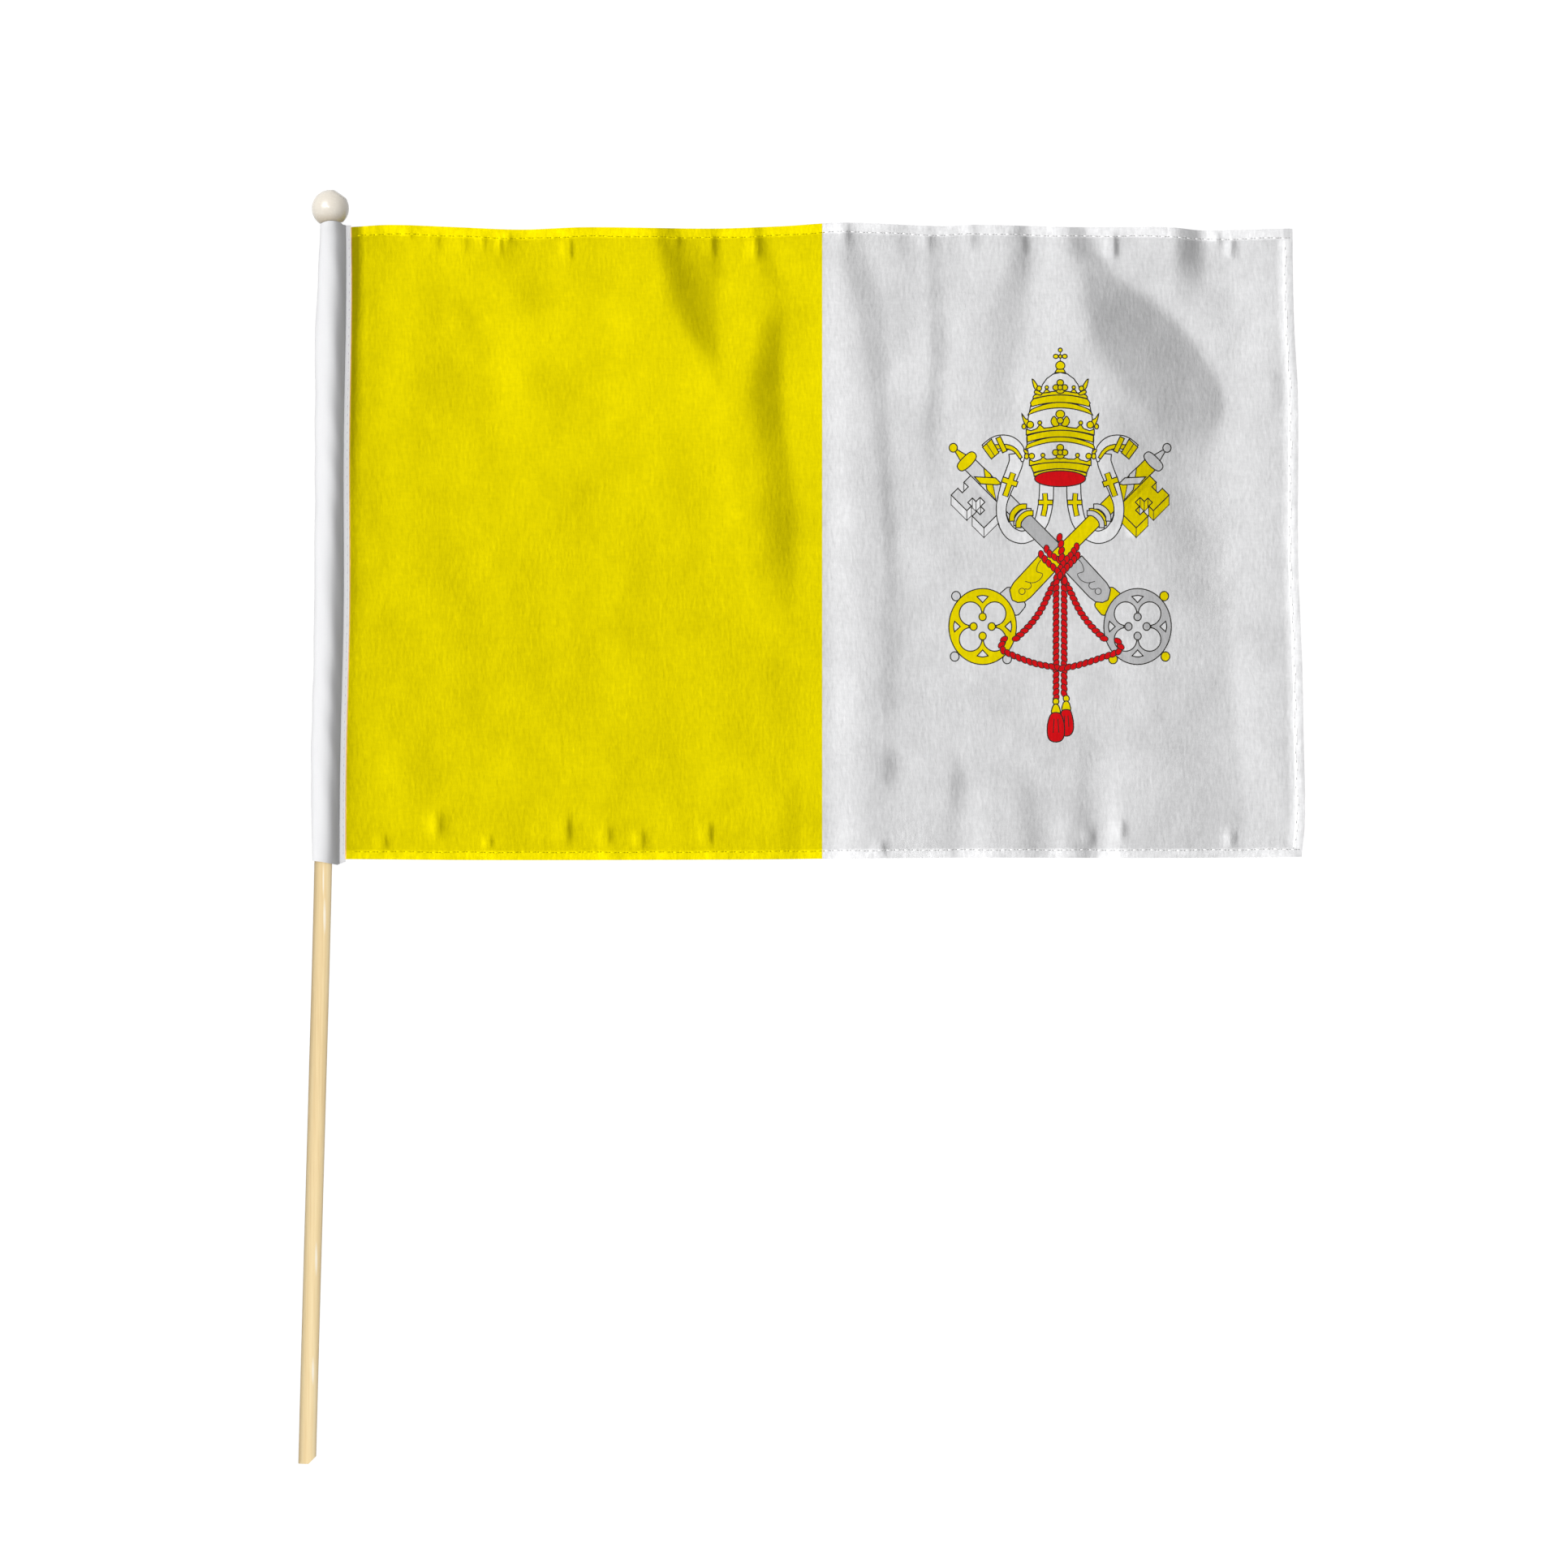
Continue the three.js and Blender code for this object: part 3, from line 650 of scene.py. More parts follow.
inner, outer, sleeve_flat = [], [], []
for station in np.linspace(0, 1, STATIONS + 1):
    section = sleeve_profile(SLEEVE_HEAD + (SLEEVE_FOOT - SLEEVE_HEAD) * station)
    u, w = section.T
    over = soft_step(w + 0.5, 3.0)
    first = (HEAD_END["middle"] + HEAD_END["left_hangs"] * (np.minimum(u, 0) / HEAD_END["left"]) ** 2
             + HEAD_END["right_hangs"] * (np.maximum(u, 0) / HEAD_END["right"]) ** 2)
    first = first + (HEAD_END["under"] - first) * (1 - over)
    last = np.interp(u, *FOOT_END)
    down = first + (last - first) * station
    along = np.gradient(section, axis=0)
    along /= np.linalg.norm(along, axis=1)[:, None]
    normal = np.stack([along[:, 1], -along[:, 0]], 1)
    run = np.concatenate([[0], np.cumsum(np.linalg.norm(np.diff(section, axis=0), axis=1))])
    loose = soft_step(u.max() - FLAT_MARGIN - u, 2.0) * (0.35 + 0.65 * soft_step(down - 12, 10))
    ruffle = loose * (FINE_RUFFLE * (1 + np.sin(down / 5.1 + run * 0.55 + 1.5 * np.sin(down / 19)))
                      + BROAD_RUFFLE * (1 + np.sin(down / 12.7 - run * 0.3 + 1.1)))
    flare = FLARE * (1 - soft_step(down - 6.1, FLARE_LENGTH)) * np.clip(w / 4.6, 0, 1)
    centre = section + normal * ruffle[:, None]
    centre[:, 1] += flare
    for side, kept in ((1, outer), (-1, inner)):
        at = centre + normal * side * SHEET / 2
        kept.append([place(float(axis_aside(d)) + a, d, float(axis_height(d)) + b)
                     for (a, b), d in zip(at, down)])
    sleeve_flat.append(np.stack([run, down], 1))
across_count = len(inner[0])
layer = (STATIONS + 1) * across_count


def strip_index(station, across, side):
    return side * layer + station * across_count + across


sleeve_faces = []
for i in range(STATIONS):
    for j in range(across_count - 1):
        corners = [(i, j), (i, j + 1), (i + 1, j + 1), (i + 1, j)]
        sleeve_faces.append(tuple(strip_index(a, b, 0) for a, b in corners))
        sleeve_faces.append(tuple(strip_index(a, b, 1) for a, b in reversed(corners)))
strip_rim = ([(0, j) for j in range(across_count)]
             + [(i, across_count - 1) for i in range(1, STATIONS + 1)]
             + [(STATIONS, j) for j in range(across_count - 2, -1, -1)]
             + [(i, 0) for i in range(STATIONS - 1, 0, -1)])
for (a, b), (c, d) in zip(strip_rim, strip_rim[1:] + strip_rim[:1]):
    sleeve_faces.append((strip_index(c, d, 0), strip_index(a, b, 0),
                         strip_index(a, b, 1), strip_index(c, d, 1)))
sleeve_mesh = bpy.data.meshes.new("sleeve")
sleeve_mesh.from_pydata([p for row in outer + inner for p in row], [], sleeve_faces)
sleeve_mesh.validate()
sleeve = bpy.data.objects.new("sleeve", sleeve_mesh)
bpy.context.scene.collection.objects.link(sleeve)
sleeve_map = sleeve_mesh.uv_layers.new(name="OFBake")
sleeve_corners = np.zeros(len(sleeve_mesh.loops), int)
sleeve_mesh.loops.foreach_get("vertex_index", sleeve_corners)
flat_strip = np.concatenate(sleeve_flat)[sleeve_corners % layer]
STRIP_MAP, STRIP_STEP = 330, 50  # millimetres across the map, and from the outside to the inside
flat_strip[:, 0] += STRIP_STEP * (sleeve_corners >= layer)
sleeve_map.data.foreach_set("uv", (flat_strip / STRIP_MAP).astype(np.float32).ravel())

plain = Finish("plain_polyester")
strip_warp, strip_weft = plain.noise((1900, 240, 1900), 2.0), plain.noise((260, 1900, 260), 2.0)
strip_blotch = plain.noise((120, 60, 120), 2.0)
strip_tone = strip_warp * 0.3 + strip_weft * 0.2 + strip_blotch * 0.5
sleeve_mesh.materials.append(plain.surface(
    Base_Color=plain.mix(strip_tone, colour(228, 228, 230), colour(242, 242, 243)),
    Roughness=strip_tone * 0.2 + 0.6, Specular_IOR_Level=0.2,
    Normal=plain.bump(strip_tone, 0.00008)))
smooth(sleeve, 50)
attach(sleeve, "root")
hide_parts("hoist_sleeve")
room_lights["sleeve"].objects.link(sleeve)


# Emblem
# Two crossed keys under a triple crown, printed on the white half in gold, silver and red with
# fine dark lines. It is drawn from ribbons, ovals and smooth curves, in millimetres from its
# middle line (u) and its top (v), each shape lying over those before it.

EMBLEM_X, EMBLEM_DOWN = 345.4, 65.6
LINE = 0.52  # width of the dark lines
GOLD, SILVER, GREY, PALE, STEEL, RED, WHITE, CLEAN, DARK, YELLOW, ORANGE = range(11)
INKS = {GOLD: (222, 203, 0), SILVER: (202, 202, 203), GREY: (172, 172, 173), PALE: (222, 222, 223),
        STEEL: (180, 180, 181), RED: (208, 18, 24), WHITE: (213, 213, 214), CLEAN: (222, 222, 223),
        DARK: (46, 44, 40), YELLOW: (225, 209, 0), ORANGE: (248, 196, 120)}
printed = []  # (corners, ink), in the order of printing


def spread(points, by):
    """An outline moved outwards by that much."""
    p = np.array(points, float)
    area = np.sum(p[:, 0] * np.roll(p[:, 1], -1) - np.roll(p[:, 0], -1) * p[:, 1])
    edge = np.roll(p, -1, 0) - p
    edge /= np.maximum(np.linalg.norm(edge, axis=1), 1e-9)[:, None]
    normal = np.stack([edge[:, 1], -edge[:, 0]], 1) * np.sign(area)
    both = normal + np.roll(normal, 1, 0)
    length = np.maximum(np.linalg.norm(both, axis=1), 0.7)
    return p + both / length[:, None] ** 2 * 2 * by


def shape(points, ink, line=LINE):
    if line:
        printed.append((spread(points, line / 2), DARK))
    printed.append((spread(points, -line / 2), ink))


def oval(u, v, ru, rv=None, ink=GOLD, turn=0.0, line=LINE, corners=16):
    rv = rv or ru
    angle = np.arange(corners) * math.tau / corners
    a, b = ru * np.cos(angle), rv * np.sin(angle)
    c, s = math.cos(turn), math.sin(turn)
    shape(np.stack([u + a * c - b * s, v + a * s + b * c], 1), ink, line)


def ribbon_outline(path, widths):
    """Both sides of a ribbon along a path, as one outline."""
    p = np.array(path, float)
    along = np.gradient(p, axis=0)
    along /= np.linalg.norm(along, axis=1)[:, None]
    side = np.stack([-along[:, 1], along[:, 0]], 1)
    half = np.interp(np.linspace(0, 1, len(p)), np.linspace(0, 1, len(widths)), widths)[:, None] / 2
    return np.concatenate([p + side * half, (p - side * half)[::-1]])


def ribbon(path, widths, ink, line=LINE):
    shape(ribbon_outline(path, widths), ink, line)


def line(points, width=LINE):
    printed.append((ribbon_outline(points, [width, width]), DARK))


def mirror(points, side):
    """The drawing is made for the left; side 1 is the right."""
    return [(-side * u, v) for u, v in points]


def arch(v, half, sag, steps=14):
    """A band's edge seen from below: it hangs lower at its ends."""
    u = np.linspace(-half, half, steps + 1)
    return np.stack([u, v + sag * (u / half) ** 2], 1)


# Lappets, first the stretch that hangs behind the keys and turns up again beside them.
for side in (-1, 1):
    back = curve(mirror([(-6.4, 64), (-6.6, 71), (-7.4, 77), (-9.0, 82.5), (-12.2, 87.2), (-17.4, 89.8),
                         (-22.6, 88.4), (-25.8, 84.8), (-27.6, 80), (-27.8, 75)], side), closed=False)
    ribbon(back, [6.6, 6.8, 6.6, 5.8, 6.0, 5.2, 4.6], CLEAN)
    post = curve(mirror([(-7.2, 69.2), (-7.0, 74.5), (-7.9, 79.6)], side), closed=False, steps=3)
    ribbon(post, [2.2, 2.3], GOLD)
    ribbon(mirror([(-10.3, 73.3), (-3.5, 73.3)], side), [2.2, 2.2], GOLD)
    ribbon(post, [2.2 - LINE, 2.3 - LINE], GOLD, 0)

CROSSING = 98.1
DIAGONAL = math.sqrt(0.5)


def on_key(side, points):
    """Places along a key (t, from the crossing to its bow) and across it (n)."""
    return mirror([((t - n) * DIAGONAL, CROSSING + (t + n) * DIAGONAL) for t, n in points], side)


def key(side, metal, shadow, pale, bow, other):
    # The bit, a plate with a notch in its end, a slot in its far edge and a cross cut behind the
    # slot. It is seen from a little above, so under each of its edges a wall shows.
    end, root, near, far, deep = -56.5, -34.5, 3.0, 16.5, 4.6
    slot, arm, bar, behind = (-46.0, -42.4), (-46.0, -42.8), (-48.4, -40.2), 13.4
    notch, notch_deep, bar_near, arm_near = (8, 12), 3, 10.4, 7.6
    plate = [(end, near), (end, notch[0]), (end + notch_deep, notch[0]), (end + notch_deep, notch[1]),
             (end, notch[1]), (end, far), (slot[0], far), (slot[0], behind), (bar[0], behind),
             (bar[0], bar_near), (arm[0], bar_near), (arm[0], arm_near), (arm[1], arm_near),
             (arm[1], bar_near), (bar[1], bar_near), (bar[1], behind), (slot[1], behind), (slot[1], far),
             (root, far), (root, near)]
    plate = np.array(on_key(side, plate))
    walls = sorted(zip(plate, np.roll(plate, -1, 0)), key=lambda ends: ends[0][1] + ends[1][1])
    for a, b in walls:
        if abs(a[0] - b[0]) > 0.5:
            shape(np.array([a, b, b + (0, deep), a + (0, deep)]), pale, 0.36)
    shape(plate, metal)

    # The shaft with its wraps, collars, cap and tip.
    half = 3.45
    shape(on_key(side, [(-62, -half), (8, -half), (8, half), (-62, half)]), metal)
    printed.append((np.array(on_key(side, [(-25, -half + 0.3), (8, -half + 0.3), (8, half - 0.3),
                                           (-25, half - 0.3)])), shadow))
    shape(mirror([(-36.2, 56.9), (-32.8, 60.1), (-30.4, 72.0), (-34.7, 67.3)], side), other)
    shape(mirror([(-40.6, 61.2), (-30.6, 61.7), (-27.9, 64.4), (-29.8, 65.0), (-37.7, 64.5)], side), other)
    for t, ink in ((-26.0, metal), (-29.0, other), (-24.6, other)):
        bowed = curve(on_key(side, [(t + 1.6, -4.9), (t - 0.2, -2.9), (t - 0.8, 0), (t - 0.2, 2.9),
                                    (t + 1.6, 4.9)]), closed=False, steps=3)
        ribbon(bowed, [2.4, 2.6, 2.4], ink)
    shape(on_key(side, [(-70.4, -0.5), (-64.2, -2.1), (-64.2, 2.1), (-70.4, 0.5)]), other)
    cap = [(-64.7, -3.6), (-63.6, -5.2), (-61.4, -5.2), (-60.3, -3.4), (-59.9, 0), (-60.3, 3.4),
           (-61.4, 5.2), (-63.6, 5.2), (-64.7, 3.6), (-65.0, 0)]
    shape(curve(on_key(side, cap), steps=3), other)
    tip = on_key(side, [(-71.6, 0)])[0]
    oval(tip[0], tip[1], 1.95, 2.1, other)

    # Neck plate, bow and its knobs.
    shape(curve(on_key(side, [(27.8, -6.0), (31.2, -7.0), (35, -6.4), (36, 0), (35, 5.6), (31.6, 6.0),
                              (28.2, 5.0), (27.6, 0)]), steps=3), other)
    bow_u, bow_v = -side * 36.7, 132.1
    for du, dv in ((12.6, -14.4), (13.2, 14.2), (-11.6, 15.4)):
        oval(bow_u - side * du, bow_v + dv, 2.1, 2.25, other)
    oval(bow_u, bow_v, 16.0, 18.0, bow, corners=56)
    for du in (-5.7, 5.7):
        for dv in (-6.1, 6.1):
            oval(bow_u + du, bow_v + dv, 5.35, 5.6, WHITE, corners=28)
    oval(bow_u, bow_v, 4.9, 5.1, WHITE, line=0)
    for du, dv in ((0, -4.6), (0, 4.5), (-4.3, 0), (4.3, 0)):
        stem = np.array([(bow_u + du, bow_v + dv), (bow_u + du * 1.55, bow_v + dv * 1.55)])
        ribbon(stem, [0.9, 0.5], bow, 0.3)
        oval(bow_u + du, bow_v + dv, 1.75, 1.85, bow)
        far, turn = np.array((du, dv)) * 3.0, np.array((-dv, du)) * 0.58
        centre = np.array((bow_u, bow_v))
        window_edge = curve([centre + far * 1.03 - turn, centre + far * 1.07, centre + far * 1.03 + turn],
                            closed=False, steps=4)
        shape(np.concatenate([window_edge, [centre + far * 0.82]]), WHITE)

    # The handle with its scroll.
    handle = [(7.6, -6.9), (25.0, -6.2), (28.6, -5.2), (30.3, -2.6), (31.2, -0.8), (30.2, 1.8), (27.6, 3.9),
              (24.0, 4.4), (7.2, 3.9)]
    shape(on_key(side, handle), bow)
    scroll = curve(on_key(side, [(7.9, -4.6), (10.6, -4.2), (13.4, -2.3), (12.3, 0.6), (15.4, 1.5),
                                 (18.6, 0.2), (20.6, -2.8)]), closed=False)
    line(scroll, 0.35)
    tail = curve(on_key(side, [(19.4, -1.0), (20.0, 0.8), (22.0, 1.0), (23.2, -0.4)]), closed=False)
    line(tail, 0.35)
    eye = on_key(side, [(25.0, -0.5)])[0]
    oval(eye[0], eye[1], 1.5, 1.5, bow, line=0.35, corners=12)


key(-1, SILVER, GREY, PALE, STEEL, GOLD)
key(1, GOLD, GOLD, GOLD, GOLD, SILVER)

# Lappets, the stretch in front of the keys, its fold over the top and its banded end.
for side in (-1, 1):
    front = curve(mirror([(-26.6, 83.4), (-27.7, 80), (-27.8, 75.0), (-26.8, 70.6), (-24.8, 64.6),
                          (-22.4, 58.6), (-20.9, 54.0), (-21.2, 50.2)], side), closed=False)
    ribbon(front, [4.7, 4.6, 5.0, 6.4, 6.6, 6.2], CLEAN)
    turn = curve(mirror([(-25.0, 86), (-26.6, 83.4), (-27.6, 80.4)], side), closed=False)
    ribbon(turn, [4.9 - LINE, 4.7 - LINE], CLEAN, 0)
    over = curve(mirror([(-17.9, 54.0), (-18.4, 49.4), (-21.8, 46.0), (-26.6, 44.9), (-30.8, 46.0),
                         (-34.6, 49.0)], side), closed=False)
    ribbon(over, [1.0, 4.0, 6.6, 7.4, 7.4], CLEAN)
    stripe = curve(mirror([(-18.6, 52.4), (-21.4, 48.6), (-25.6, 46.9), (-31.6, 47.2)], side),
                   closed=False, steps=3)
    ribbon(stripe, [1.4, 2.0, 2.2], GOLD)
    ribbon(mirror([(-29.4, 42.6), (-26.2, 49.4)], side), [2.3, 2.3], GOLD)
    end = np.array(mirror([(-36.8, 47.2), (-32.6, 43.4), (-29.0, 49.8), (-32.6, 52.8)], side))
    shape(end, GOLD)
    line([end[0] + (end[1] - end[0]) * 0.45, end[3] + (end[2] - end[3]) * 0.45], 0.4)
    ribbon(mirror([(-22.3, 59.6), (-26.0, 70.2)], side), [2.5, 2.5], GOLD)
    ribbon(mirror([(-27.4, 62.4), (-20.4, 64.8)], side), [2.5, 2.5], GOLD)
    ribbon(mirror([(-22.3, 59.6), (-26.0, 70.2)], side), [2.5 - LINE, 2.5 - LINE], GOLD, 0)

# Tiara: a white egg-shaped cap with three crowns, open below on its red lining.
body = [(0, 11.9), (3.4, 12.6), (6.4, 14.8), (8.4, 17.6), (9.4, 20.4), (13.9, 27), (15.1, 33), (15.7, 38),
        (15.9, 44), (15.2, 50), (13.6, 55), (12.2, 60)]
shape(np.array(body + [(-u, v) for u, v in body[:0:-1]]), CLEAN)


def band(top, bottom, top_half, bottom_half, sag, bulge=0.0, ink=GOLD):
    upper, lower = arch(top, top_half, sag), arch(bottom, bottom_half, sag)
    middle = (upper[-1] + lower[-1]) / 2 + (bulge, 0)
    other = (upper[0] + lower[0]) / 2 - (bulge, 0)
    shape(np.concatenate([upper, [middle], lower[::-1], [other]]), ink)


def fleuron(v, size):
    """The three-lobed flower in the middle of a crown."""
    oval(0, v + size * 1.9, size * 1.25, size * 0.8)
    for side in (-1, 1):
        oval(side * size * 1.45, v + size * 0.75, size * 1.0, size * 0.95)
    oval(0, v - size * 0.85, size * 1.1, size * 1.0)
    oval(0, v + size * 0.7, size * 0.8)


def crown_front(v, half, sag, pearl_u, pearl_up, depth):
    """The crown's edge, which swoops up to a stem under each of its pearls."""
    def low(u):
        return v + sag * (u / half) ** 2
    edge = [(0, low(0) - 1.1), (pearl_u * 0.45, low(pearl_u * 0.45) - 0.1),
            (pearl_u * 0.8, low(pearl_u) - 0.4), (pearl_u, low(pearl_u) - pearl_up),
            (pearl_u * 1.14, low(pearl_u) - 0.2),
            (half * 0.86, low(half * 0.86)), (half, low(half) - 1.3)]
    upper = [(-u, w) for u, w in edge[:0:-1]] + edge
    lower = arch(v + depth, half, sag)[::-1]
    shape(np.concatenate([np.array(upper), lower]), GOLD)
    for side in (-1, 1):
        oval(side * pearl_u, low(pearl_u) - pearl_up - 0.7, 0.95)


# Top crown.
band(20.7, 22.5, 12.2, 12.9, 1.8, 0.3)
band(22.5, 26.0, 12.9, 13.6, 2.0, 0.9)
band(26.0, 28.6, 13.7, 15.4, 3.4)
for side in (-1, 1):
    shape(curve(mirror([(-10.6, 20.8), (-12.4, 19.0), (-13.3, 15.0), (-11.8, 16.4), (-10.4, 19.0)], side),
                steps=3), GOLD)
    shape(curve(mirror([(-8.8, 21.6), (-11.6, 20.2), (-12.2, 21.6), (-9.4, 22.6)], side), steps=3), GOLD)
    oval(side * 10.0, 19.4, 1.15)
    shape(mirror([(-4.9, 21.2), (-6.0, 19.9), (-6.9, 19.9), (-8.0, 21.6)], side), GOLD)
    oval(side * 6.4, 18.9, 0.8)
fleuron(17.9, 1.45)

# Middle crown.
band(39.2, 42.3, 15.8, 15.6, 2.6)
band(42.3, 44.6, 15.6, 16.3, 3.6, 0.2)
crown_front(37.8, 16.1, 2.2, 9.7, 2.2, 1.4)
for side in (-1, 1):
    shape(curve(mirror([(-15.0, 34.6), (-16.6, 33.6), (-18.2, 31.4), (-17.4, 34.8), (-15.9, 37.6)], side),
                steps=3), GOLD)
    oval(side * 17.2, 37.4, 0.95, 1.2)
    oval(side * 14.2, 36.6, 1.6)
    shape(curve(mirror([(-0.6, 36.6), (-3.2, 37.2), (-4.4, 34.8), (-2.8, 32.6)], side), steps=3), GOLD)
oval(0, 31.6, 2.1, 1.9)
oval(0, 34.6, 1.5, 1.4)

# Lower crown.
band(54.2, 57.4, 14.0, 12.6, 1.8)
band(57.4, 58.8, 12.6, 12.3, 2.2)
crown_front(52.8, 14.6, 1.6, 8.2, 1.6, 1.5)
for side in (-1, 1):
    shape(curve(mirror([(-15.4, 50.9), (-17.1, 49.3), (-17.0, 48.0), (-15.2, 49.4)], side), steps=3), GOLD)
    oval(side * 15.9, 51.5, 1.0, 1.3)
    oval(side * 13.5, 51.4, 1.35)
fleuron(48.6, 1.5)
oval(0, 62.1, 12.1, 3.75, RED, corners=40)

# Knop and cross on the top.
shape([(-1.6, 10.3), (1.6, 10.3), (2.5, 11.9), (-2.5, 11.9)], GOLD)
shape(curve([(0, 6.5), (1.7, 7.4), (2.15, 8.8), (1.3, 10.2), (-1.3, 10.2), (-2.15, 8.8), (-1.7, 7.4)],
            steps=3), GOLD)
line([(0, 2), (0, 6.8)], 0.4)
oval(0, 1.25, 0.95)
for side in (-1, 1):
    oval(side * 2.1, 4.25, 1.2, 1.0)
oval(0, 4.25, 0.75, 0.85)

# Cord: a red twisted cord laid round the crossing, through both bows and down to two tassels.
BEAD_PITCH = 2.75


def twisted_cord(points, twist):
    path = curve(points, closed=False, steps=8)
    step = np.linalg.norm(np.diff(path, axis=0), axis=1)
    run = np.concatenate([[0], np.cumsum(step)])
    count = max(int(round(run[-1] / BEAD_PITCH)), 1)
    for k in range(count + 1):
        at = run[-1] * k / count
        u, v = (np.interp(at, run, path[:, c]) for c in (0, 1))
        ahead = [np.interp(min(at + 0.5, run[-1]), run, path[:, c])
                 - np.interp(max(at - 0.5, 0), run, path[:, c]) for c in (0, 1)]
        oval(u, v, 2.0, 1.3, RED, math.atan2(ahead[1], ahead[0]) + twist, line=0.42, corners=12)


for side in (-1, 1):
    twist = -side * 0.55
    twisted_cord(mirror([(-1.2, 109.5), (-4.4, 114.6), (-8.6, 123.4), (-12.8, 129.6), (-16.6, 133.8),
                         (-20.8, 137.8)], side), twist)
for side, foot_v in ((-1, 166.0), (1, 163.9)):
    twisted_cord([(side * 1.6, 108.6), (side * 1.9, 118), (side * 1.9, foot_v)], -side * 0.5)
twisted_cord([(-26.6, 138.2), (-27.8, 141.2), (-26.6, 143.8), (-24.2, 144.9), (-18.0, 147.5),
              (-10.6, 149.9), (-1.0, 151.6)], 0.5)
twisted_cord([(1.0, 151.8), (7.0, 150.8), (14.0, 148.8), (21.0, 146.4), (26.2, 144.6), (28.9, 142.6),
              (27.4, 139.0)], -0.5)
twisted_cord([(-6.4, 95.4), (-4.6, 98.0), (-1.6, 99.8), (1.4, 102.2), (1.0, 105.0)], 0.5)
twisted_cord([(7.8, 94.4), (5.4, 98.0), (2.4, 101.0), (0.2, 104.6)], -0.5)
twisted_cord([(-0.3, 89.9), (0.5, 93.6), (0.7, 99.4)], 0.5)
twisted_cord([(-9.0, 98.0), (-6.2, 101.4), (-2.6, 104.6), (0.6, 107.8), (2.2, 110.4)], 0.5)
twisted_cord([(8.2, 98.6), (5.2, 102.0), (2.0, 105.4), (0.0, 108.0)], -0.5)


def tassel(u, top, half, length):
    oval(u, top - 5.2, 1.45, 1.5)
    shape(curve([(u, top - 4.0), (u + 1.4, top - 3.0), (u + 2.0, top + 0.5), (u - 2.0, top + 0.5),
                 (u - 1.4, top - 3.0)], steps=3), GOLD)
    skirt = [(u - 1.6, top + 0.3), (u + 1.6, top + 0.3), (u + half * 0.78, top + 2.6),
             (u + half, top + 7), (u + half * 0.9, top + length - 2), (u + half * 0.4, top + length),
             (u - half * 0.4, top + length), (u - half * 0.9, top + length - 2),
             (u - half, top + 7), (u - half * 0.78, top + 2.6)]
    shape(curve(skirt, steps=3), RED)
    for share in (-0.3, 0.35):
        line([(u + half * share * 0.7, top + 3.0), (u + half * share, top + length - 4.2)], 0.4)


tassel(2.9, 171.4, 3.5, 12.4)
tassel(-2.0, 172.8, 4.1, 13.8)


# Flag cloth
# One panel of fine polyester, printed yellow and white, its head, foot and fly turned twice and
# sewn down. It is a thin sheet on the solid's folds, and the print goes through to its back.

TUCKED = 1.8  # how far its hoist edge goes in between the sleeve's two margins
HEMS = {"head": 5.0, "foot": 4.4, "fly": 4.4}
HEM_RISE = 0.22
# Painted shade: near the head the fly's hem is not made brighter like the other hems, as it lies turned over
# into shade there.
FLY_HEM_PAINTED_SHADING = ([0, 60, 90, 300], [-0.3, 0.0, 0.5, 0.7])  # how bright the fly's hem lies, from its head down
FLAT_WIDTH, FLAT_HEIGHT = 450.0, 300.0
PITCH = 2.7


def hoist_x(down):
    return seam_x(down) - TUCKED


def fly_x(down):
    return read_table(*FLY_EDGE, down)


def head_down(x):
    return HEAD + read_table(*HEAD_EDGE, x)


def foot_down(x):
    return FOOT + read_table(*FOOT_EDGE, x)


def grid_lines(size, kept):
    """Even lines across a size, but for the kept ones and what would lie too close to them."""
    kept = sorted({0.0, float(size), *[float(k) for k in kept]})
    kept = [k for i, k in enumerate(kept) if i == 0 or k - kept[i - 1] > 0.3]
    even = np.linspace(0, size, int(size / PITCH) + 1)
    clear = np.min(np.abs(even[:, None] - np.array(kept)[None]), 1) > PITCH * 0.45
    return np.sort(np.concatenate([kept, even[clear]]))


def hem_kept(size, hem):
    """Lines at a hem's edge and along its inner side, measured from the sheet's far end."""
    return [size - back for back in (hem + 0.5, hem, hem - 0.5, 0.6)]


yellow_width, white_width = COLOUR_LINE - SEAM_START, FLAT_WIDTH - (COLOUR_LINE - SEAM_START)
yellow_kept, white_kept = [TUCKED, TUCKED + 0.45, TUCKED + 1.6], hem_kept(white_width, HEMS["fly"])
for middle, first, last, width, height in PLEATS:
    edge = np.array(HEAD if first < 150 else FOOT)
    for x in (middle - width / 2, middle, middle + width / 2):
        if x < COLOUR_LINE:
            yellow_kept.append((x - hoist_x(edge)) * yellow_width / (COLOUR_LINE - hoist_x(edge)))
        else:
            white_kept.append((x - COLOUR_LINE) * white_width / (fly_x(edge) - COLOUR_LINE))
yellow_lines = grid_lines(yellow_width, yellow_kept) / yellow_width
white_lines = grid_lines(white_width, white_kept) / white_width
across_pleats = [12, 14, 16, 18, 281, 283, 285, 287, 289, 291, 293]
head_kept = [0.6, HEMS["head"] - 0.5, HEMS["head"], HEMS["head"] + 0.5]
row_lines = grid_lines(FLAT_HEIGHT, head_kept + across_pleats
                       + hem_kept(FLAT_HEIGHT, HEMS["foot"])) / FLAT_HEIGHT
YELLOW_COLUMNS, WHITE_COLUMNS, ROWS = len(yellow_lines) - 1, len(white_lines) - 1, len(row_lines) - 1

